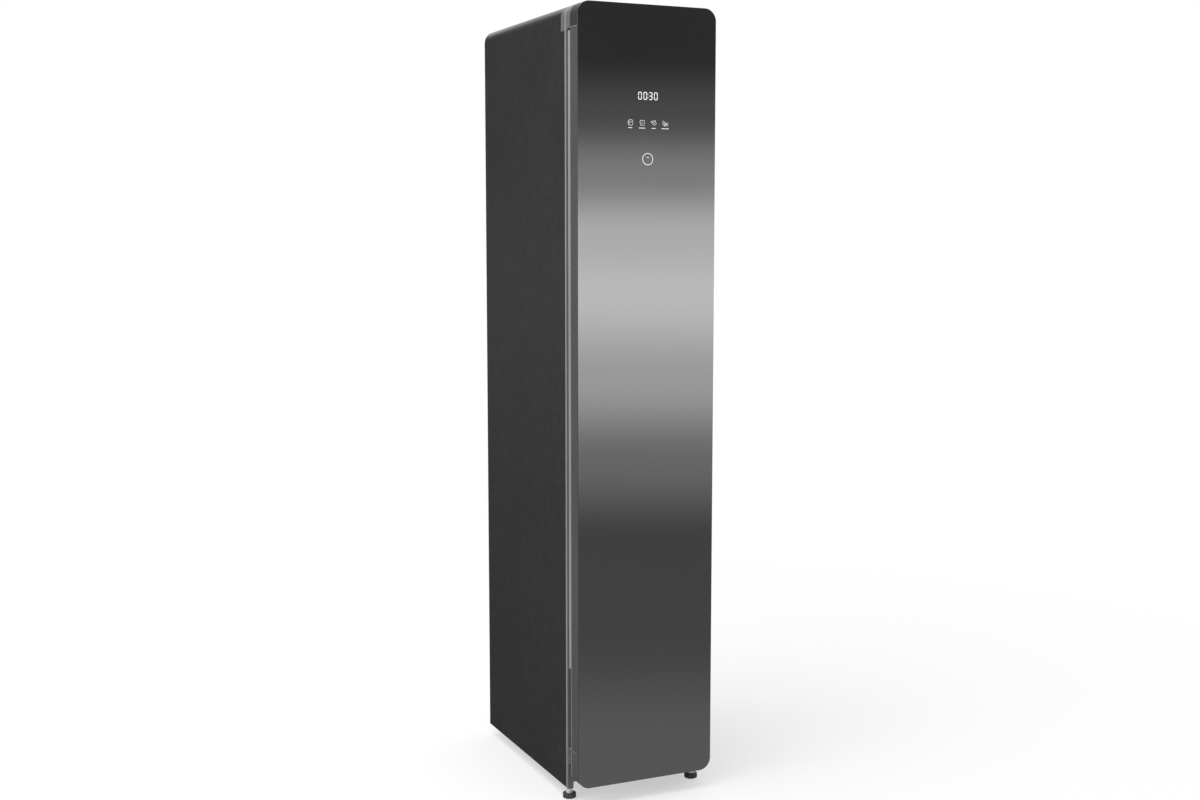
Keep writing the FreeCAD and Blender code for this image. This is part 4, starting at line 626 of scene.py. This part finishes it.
def hanger_arm(shape, x, y, z):
    """Bowed shoulder bar of one hanger with an oval section that narrows to round tips."""
    tip = (HANGER_HIGH.y - HANGER_LOW.y) / 2
    bow = (tip * tip + HANGER_DROP * HANGER_DROP) / (2 * HANGER_DROP)
    rings = []
    for step in range(ARM_STEPS + 1):
        turn = math.pi * step / ARM_STEPS
        along = -math.cos(turn) * tip
        full = min(1.0, 4 * math.sin(turn)) ** 0.5 if 0 < step < ARM_STEPS else ARM_TIP
        height = math.sqrt(bow * bow - along * along)
        ring = []
        for side in range(ARM_SIDES):
            angle = 2 * math.pi * side / ARM_SIDES
            across = math.cos(angle) * HANGER_ARM / 4 * full
            up = math.sin(angle) * HANGER_ARM / 2 * full
            lean = up * ARM_LEAN * along / height
            ring.append((x + across, y + along + lean, z - bow + height + up))
        rings.append(ring)
    loops = sleeve(shape, rings)
    shape.faces.new(loops[0])
    shape.faces.new(loops[-1][::-1])


def hangers():
    """Three moulded hangers along the depth, each on a steel hook over the moving bar."""
    y = (BAR_LOW.y + BAR_HIGH.y) / 2
    bar_z = BAR_LOW.z + COLLAR_R
    arms = bmesh.new()
    hooks = bmesh.new()
    arm_z = bar_z - YOKE_DROP - HANGER_ARM / 2
    bend_z = bar_z - HOOK_R
    turns = [math.radians(degrees) for degrees in HOOK_TURN]
    for x in (-HANGER_PITCH, 0, HANGER_PITCH):
        hanger_arm(arms, x, y, arm_z)
        neck = [(x, y, arm_z), (x, y, bend_z - NECK_STRAIGHT), (x, y + NECK_STEP, bend_z - NECK_CURVE)]
        bend = [(x, y + HOOK_R * math.cos(turn), bar_z + HOOK_R * math.sin(turn)) for turn in turns]
        wire = tube("hook", neck + bend, HOOK_WIRE)
        hooks.from_mesh(wire.data)
        bpy.data.objects.remove(wire)
    for name, shape, look in (("hanger_arms", arms, "black_plastic"),
                              ("hanger_hooks", hooks, "bright_steel")):
        piece = show(from_bmesh(name, shape), "hanger_carriage", LOOKS[look])
        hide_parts("garment_hangers")


# ---------------------------------------------------------------- feet and back

# lobed knob: (height in millimetres, share of its radius) from the floor up
KNOB_LEVELS = ((0, 0.86), (1.4, 0.97), (2.2, 1.0), (9.6, 1.0), (11.4, 0.97), (12.5, 0.86), (12.5, 0.6))
KNOB_H = KNOB_LEVELS[-1][0] * MM
KNOB_LOBES = 8
LOBE_STEPS = 12
LOBE_DEPTH = 2.2 * MM
# steel neck on it, and the threaded stem above
FLANGE_R = 8.2 * MM
FLANGE_H = 1.8 * MM
NECK_R = 6.7 * MM
NECK_TOP = 22.7 * MM
STEM_R = 4.0 * MM
THREAD_PITCH = 1.25 * MM
THREAD_DEPTH = 0.55 * MM
THREAD_STEPS = 24
NECK_PROFILE = ((FLANGE_R, KNOB_H), (FLANGE_R, KNOB_H + FLANGE_H), (NECK_R, KNOB_H + 2 * FLANGE_H),
                (NECK_R, NECK_TOP - THREAD_DEPTH), (NECK_R - THREAD_DEPTH, NECK_TOP))


def knob_ring(x, y, z, radius):
    """Points round a lobed knob at one height."""
    points = []
    steps = KNOB_LOBES * LOBE_STEPS
    for step in range(steps):
        turn = 2 * math.pi * step / steps
        reach = radius - LOBE_DEPTH * abs(math.sin(turn * KNOB_LOBES / 2)) ** 4
        points.append((x + reach * math.cos(turn), y + reach * math.sin(turn), z))
    return points


def knob(name, x, y, radius):
    """Lobed knob that stands on the floor."""
    shape = bmesh.new()
    loops = sleeve(shape, [knob_ring(x, y, z * MM, radius * share) for z, share in KNOB_LEVELS])
    shape.faces.new(loops[0])
    shape.faces.new(loops[-1][::-1])
    return from_bmesh(name, shape)


def feet():
    """Levelling feet: a lobed knob, a steel neck and a threaded stem."""
    for side in ("left", "right"):
        node = side + "_front_foot"
        low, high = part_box(node)
        x, y = (low.x + high.x) / 2, (low.y + high.y) / 2
        thread = []
        for index in range(int((high.z - NECK_TOP) / THREAD_PITCH)):
            z = NECK_TOP + index * THREAD_PITCH
            thread += [(STEM_R - THREAD_DEPTH, z), (STEM_R, z + THREAD_PITCH / 2)]
        neck = turned(side + "_foot_neck", NECK_PROFILE, x, y)
        stem = turned(side + "_foot_stem", thread, x, y, THREAD_STEPS)
        handle = knob(side + "_foot_knob", x, y, (high.x - low.x) / 2)
        for piece, look in ((handle, "foot_knob"), (neck, "foot_zinc"), (stem, "foot_zinc")):
            show(piece, node, LOOKS[look])
            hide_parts(node)


# pressed beads of the back, in millimetres: their middles, half width and ends
BACK_BEADS = (-110, -37, 37, 110)
BACK_BEAD_HALF = 7
BACK_BEAD_LOW = 330
BACK_BEAD_HIGH = 1740
# (distance in from a bead's edge, how far it stands out there)
BACK_BEAD_PROFILE = ((0, -0.1), (1.0, 0.4), (2.4, 1.0), (4.4, 1.5), (6.0, 1.6))
# straight part that is left between the round corners
BACK_BEAD_FLAT = 0.01


def back_beads():
    """Pressed stiffening beads of the back panel."""
    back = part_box("back_panel")[1].y
    shape = bmesh.new()
    for x in BACK_BEADS:
        rings = []
        for inset, rise in BACK_BEAD_PROFILE:
            half = BACK_BEAD_HALF - inset
            outline = corner_outline(half, BACK_BEAD_LOW + inset, BACK_BEAD_HIGH - inset,
                                     half - BACK_BEAD_FLAT)
            rings.append([((x + a) * MM, back + rise * MM, b * MM) for a, b in outline])
        loops = sleeve(shape, rings)
        shape.faces.new(loops[-1])
    show(from_bmesh("back_beads", shape), "cabinet", LOOKS["zinc"])


# ---------------------------------------------------------------- dressing the frame

# nodes shown as a copy: how much their sharp edges are rounded, in millimetres, and their look
EDGES = {
    "door_left_profile": (0.5, "door_trim"),
    "door_right_profile": (0.5, "door_trim"),
    "door_top_cap": (0.7, "top_cap_painted_shade"),
    "door_bottom_cap": (0.7, "door_caps"),
    "door_liner": (0.8, "liner"),
    "top_hinge": (0.5, "hinge_steel"),
    "bottom_hinge": (0.5, "hinge_steel"),
    "hinge_cover": (0.7, "cover_plastic"),
    "front_frame": (1.0, "frame_plastic"),
    "left_side_panel": (0.3, "panel_paint"),
    "right_side_panel": (0.3, "panel_paint"),
    "top_cover": (0.3, "panel_paint"),
    "power_inlet": (0.5, "black_plastic"),
    "chamber_floor": (0.8, "liner"),
    "chamber_lamp": (0.6, "lamp_lens"),
    "shelf": (1.0, "grey_plastic"),
    "lint_filter": (0.6, "grey_plastic"),
    "hanger_bar": (0.6, "bright_steel"),
    "tank_bay": (0.8, "grey_plastic"),
    "supply_tank": (0.8, "tank_plastic"),
    "drain_tank": (0.8, "tank_plastic"),
    "supply_tank_lid": (0.8, "lid_plastic"),
    "drain_tank_lid": (0.8, "lid_plastic"),
    "foot_lock_nuts": (0.4, "bright_steel"),
}
# nodes that keep their own shape, and their look
KEPT = {
    "door_core": "foam",
    "display_board": "circuit",
    "hinge_bushes": "bush",
    "hinge_pins": "bright_steel",
    "back_panel": "zinc",
    "base_plate": "zinc",
    "insulation_panels": "foam",
    "chamber_left_wall": "liner",
    "chamber_right_wall": "liner",
    "chamber_rear_wall": "liner",
    "chamber_ceiling": "liner",
    "shelf_supports": "bright_steel",
    "steam_nozzle": "steam_steel",
    "carriage_rails": "bright_steel",
    "motor_bridge": "zinc",
    "drive_motor": "motor_steel",
    "water_pumps": "motor_steel",
    "fan_housing": "black_plastic",
    "fan_motor": "motor_steel",
    "air_heater": "heater_fins",
    "air_duct": "zinc",
    "steam_boiler": "steam_steel",
    "steam_hose": "hose_rubber",
    "control_box": "grey_plastic",
    "roller_brackets": "zinc",
    "pan_head_screws": "bright_steel",
    "hanger_carriage": "grey_plastic",
    "drive_pinion": "bush",
    "fan_rotor": "grey_plastic",
    "left_rear_roller": "black_plastic",
    "right_rear_roller": "black_plastic",
}


def dress_frame():
    """Give every CAD node rounded edges or a finished material."""
    for node, (radius, look) in EDGES.items():
        dress(node, radius * MM, LOOKS[look])
    for node, look in KEPT.items():
        NODES[node].data.materials.clear()
        NODES[node].data.materials.append(LOOKS[look])


# ---------------------------------------------------------------- studio

# camera, fitted to the outline of the cabinet in the picture
CAMERA_PLACE = Vector((-1.5436, -3.4412, 1.3372))
CAMERA_YAW = 24.374
CAMERA_PITCH = 6.249
CAMERA_LENS = 45.626
CAMERA_SENSOR = 36.0
CAMERA_SEES = 1000.0

WHITE = (1, 1, 1, 1)
WORLD_LEVEL = 0.8
FLOOR_RADIUS = 60.0
FLOOR_SIDES = 96
FLOOR_COLOUR = (0.95, 0.95, 0.95, 1)
# distances from the cabinet over which the floor turns white, and how white it is at the nearest
FLOOR_SPAN = (0.9, 2.6)
FLOOR_WHITE = 0.5

WALL_RADIUS = 300.0
WALL_MIDDLE = 0.95
WALL_MESH = (64, 48)
# elevation in degrees and brightness of the walls as polished surfaces see them
WALL_BANDS = ((-30, 0.24), (-19, 0.185), (-15, 0.11), (-11.5, 0.105), (-8.5, 0.27), (-5.5, 0.65),
              (-2.2, 1.0), (0, 0.84), (2.2, 0.40), (4.5, 0.13), (6.6, 0.05), (24, 0.05), (36, 0.9), (60, 1.0))
# towards the back the walls get dimmer, down to this share, over this span of the direction's Y
BACK_DIM = 0.12
BACK_SPAN = (-0.1, 0.5)
# one bright patch at the back fades in over these spans of the direction's X, Y and Z
GLOW_LEVEL = 0.95
GLOW_SIDE = (-0.12, -0.07)
GLOW_BACK = (0.4, 0.7)
GLOW_UP = (0.02, 0.12)

# place, aim, size and power
LAMPS = {
    "top_lamp": ((-1.2, -0.4, 4.2), (0, 0, 1.0), 3.0, 80),
    "left_lamp": ((-4.0, -1.6, 2.2), (0, 0, 0.9), 2.4, 34),
}


def rays_that_see_background(tree):
    """1 for camera, glossy and transmission rays."""
    path = add_node(tree, "LightPath")
    seen = calculate(tree, "MAXIMUM", path.outputs["Is Camera Ray"], path.outputs["Is Glossy Ray"])
    return calculate(tree, "MAXIMUM", seen, path.outputs["Is Transmission Ray"])


def empty_tree(owner):
    """Node tree of a world or material, with no nodes in it yet."""
    owner.use_nodes = True
    owner.node_tree.nodes.clear()
    return owner.node_tree


def mixed(tree, factor, first, second, output):
    """Mix two shaders by a factor, and send the result to the tree's output."""
    mix = add_node(tree, "MixShader")
    out = add_node(tree, output)
    tree.links.new(factor, mix.inputs["Fac"])
    tree.links.new(first.outputs[0], mix.inputs[1])
    tree.links.new(second.outputs[0], mix.inputs[2])
    tree.links.new(mix.outputs["Shader"], out.inputs["Surface"])


def studio_world():
    """White background, and an even soft light from all round."""
    world = bpy.data.worlds.new("studio")
    bpy.context.scene.world = world
    tree = empty_tree(world)
    soft = add_node(tree, "Background", Color=WHITE, Strength=WORLD_LEVEL)
    white = add_node(tree, "Background", Color=WHITE, Strength=1.0)
    mixed(tree, rays_that_see_background(tree), soft, white, "OutputWorld")


def studio_floor():
    """Pale floor that keeps the shadow near the cabinet and meets the white background further out."""
    shape = bmesh.new()
    bmesh.ops.create_circle(shape, cap_ends=True, segments=FLOOR_SIDES, radius=FLOOR_RADIUS)
    floor = from_bmesh("studio_floor", shape, smooth=False)
    material = bpy.data.materials.new("studio_floor")
    tree = empty_tree(material)
    place = add_node(tree, "TexCoord")
    length = add_node(tree, "VectorMath")
    length.operation = "LENGTH"
    tree.links.new(place.outputs["Object"], length.inputs[0])
    away = ranged(tree, length.outputs["Value"], *FLOOR_SPAN, FLOOR_WHITE, 1)
    factor = calculate(tree, "MULTIPLY", away, rays_that_see_background(tree))
    matt = add_node(tree, "BsdfDiffuse", Color=FLOOR_COLOUR)
    white = add_node(tree, "Emission", Color=WHITE, Strength=1.0)
    mixed(tree, factor, matt, white, "OutputMaterial")
    material.cycles.emission_sampling = "NONE"
    floor.data.materials.append(material)
    floor.visible_glossy = False


def wall_bands(tree, sine):
    """Brightness of the walls by elevation, from the sine of the elevation."""
    lowest, highest = WALL_BANDS[0][0], WALL_BANDS[-1][0]
    elevation = calculate(tree, "ARCSINE", sine, 0.0)
    ramp = add_node(tree, "ValToRGB")
    ramp.color_ramp.interpolation = "EASE"
    share = ranged(tree, elevation, math.radians(lowest), math.radians(highest), 0, 1)
    tree.links.new(share, ramp.inputs["Fac"])
    stops = ramp.color_ramp.elements
    for index, (degrees, level) in enumerate(WALL_BANDS):
        spot = (degrees - lowest) / (highest - lowest)
        stop = stops[index] if index < 2 else stops.new(spot)
        stop.position = spot
        stop.color = (level, level, level, 1)
    return ramp.outputs["Color"]


def studio_walls():
    """Far walls that only polished surfaces see: a wide soft light band at eye level."""
    shape = bmesh.new()
    bmesh.ops.create_uvsphere(shape, u_segments=WALL_MESH[0], v_segments=WALL_MESH[1], radius=WALL_RADIUS)
    walls = from_bmesh("studio_walls", shape)
    walls.location.z = WALL_MIDDLE
    material = bpy.data.materials.new("studio_walls")
    tree = empty_tree(material)
    place = add_node(tree, "TexCoord")
    unit = add_node(tree, "VectorMath")
    unit.operation = "NORMALIZE"
    tree.links.new(place.outputs["Object"], unit.inputs[0])
    split = add_node(tree, "SeparateXYZ")
    tree.links.new(unit.outputs["Vector"], split.inputs["Vector"])
    side, back, up = split.outputs["X"], split.outputs["Y"], split.outputs["Z"]
    dim = ranged(tree, back, *BACK_SPAN, 1, BACK_DIM)
    bands = calculate(tree, "MULTIPLY", wall_bands(tree, up), dim)
    patch = ranged(tree, side, *GLOW_SIDE, 0, GLOW_LEVEL)
    patch = calculate(tree, "MULTIPLY", patch, ranged(tree, back, *GLOW_BACK, 0, 1))
    patch = calculate(tree, "MULTIPLY", patch, ranged(tree, up, *GLOW_UP, 0, 1))
    glow = add_node(tree, "Emission", Color=WHITE)
    out = add_node(tree, "OutputMaterial")
    tree.links.new(calculate(tree, "MAXIMUM", bands, patch), glow.inputs["Strength"])
    tree.links.new(glow.outputs["Emission"], out.inputs["Surface"])
    material.cycles.emission_sampling = "NONE"
    walls.data.materials.append(material)
    walls.visible_camera = False
    walls.visible_diffuse = False
    walls.visible_transmission = False
    walls.visible_shadow = False
    walls.visible_volume_scatter = False


def soft_lamp(name, place, aim, size, power):
    """Large square lamp that faces a point."""
    lamp = bpy.data.lights.new(name, "AREA")
    lamp.shape = "SQUARE"
    lamp.size = size
    lamp.energy = power
    holder = bpy.data.objects.new(name, lamp)
    bpy.context.scene.collection.objects.link(holder)
    holder.location = place
    holder.rotation_euler = (Vector(aim) - Vector(place)).to_track_quat("-Z", "Y").to_euler()
    holder.visible_camera = False


def studio_camera():
    """Camera at the picture's place and angle."""
    camera = bpy.data.cameras.new("camera")
    camera.lens = CAMERA_LENS
    camera.sensor_width = CAMERA_SENSOR
    camera.clip_end = CAMERA_SEES
    holder = bpy.data.objects.new("camera", camera)
    bpy.context.scene.collection.objects.link(holder)
    holder.location = CAMERA_PLACE
    holder.rotation_euler = (math.radians(90 - CAMERA_PITCH), 0, -math.radians(CAMERA_YAW))
    bpy.context.scene.camera = holder


dress_frame()
mirror_glass()
gasket()
panel_bead_painted_highlight()
liner_lip()
clock()
glass_marks()
hangers()
feet()
back_beads()
studio_world()
studio_floor()
studio_walls()
for lamp_name, (lamp_place, lamp_aim, lamp_size, lamp_power) in LAMPS.items():
    soft_lamp(lamp_name, lamp_place, lamp_aim, lamp_size, lamp_power)
studio_camera()

bpy.context.scene.view_settings.view_transform = "Standard"
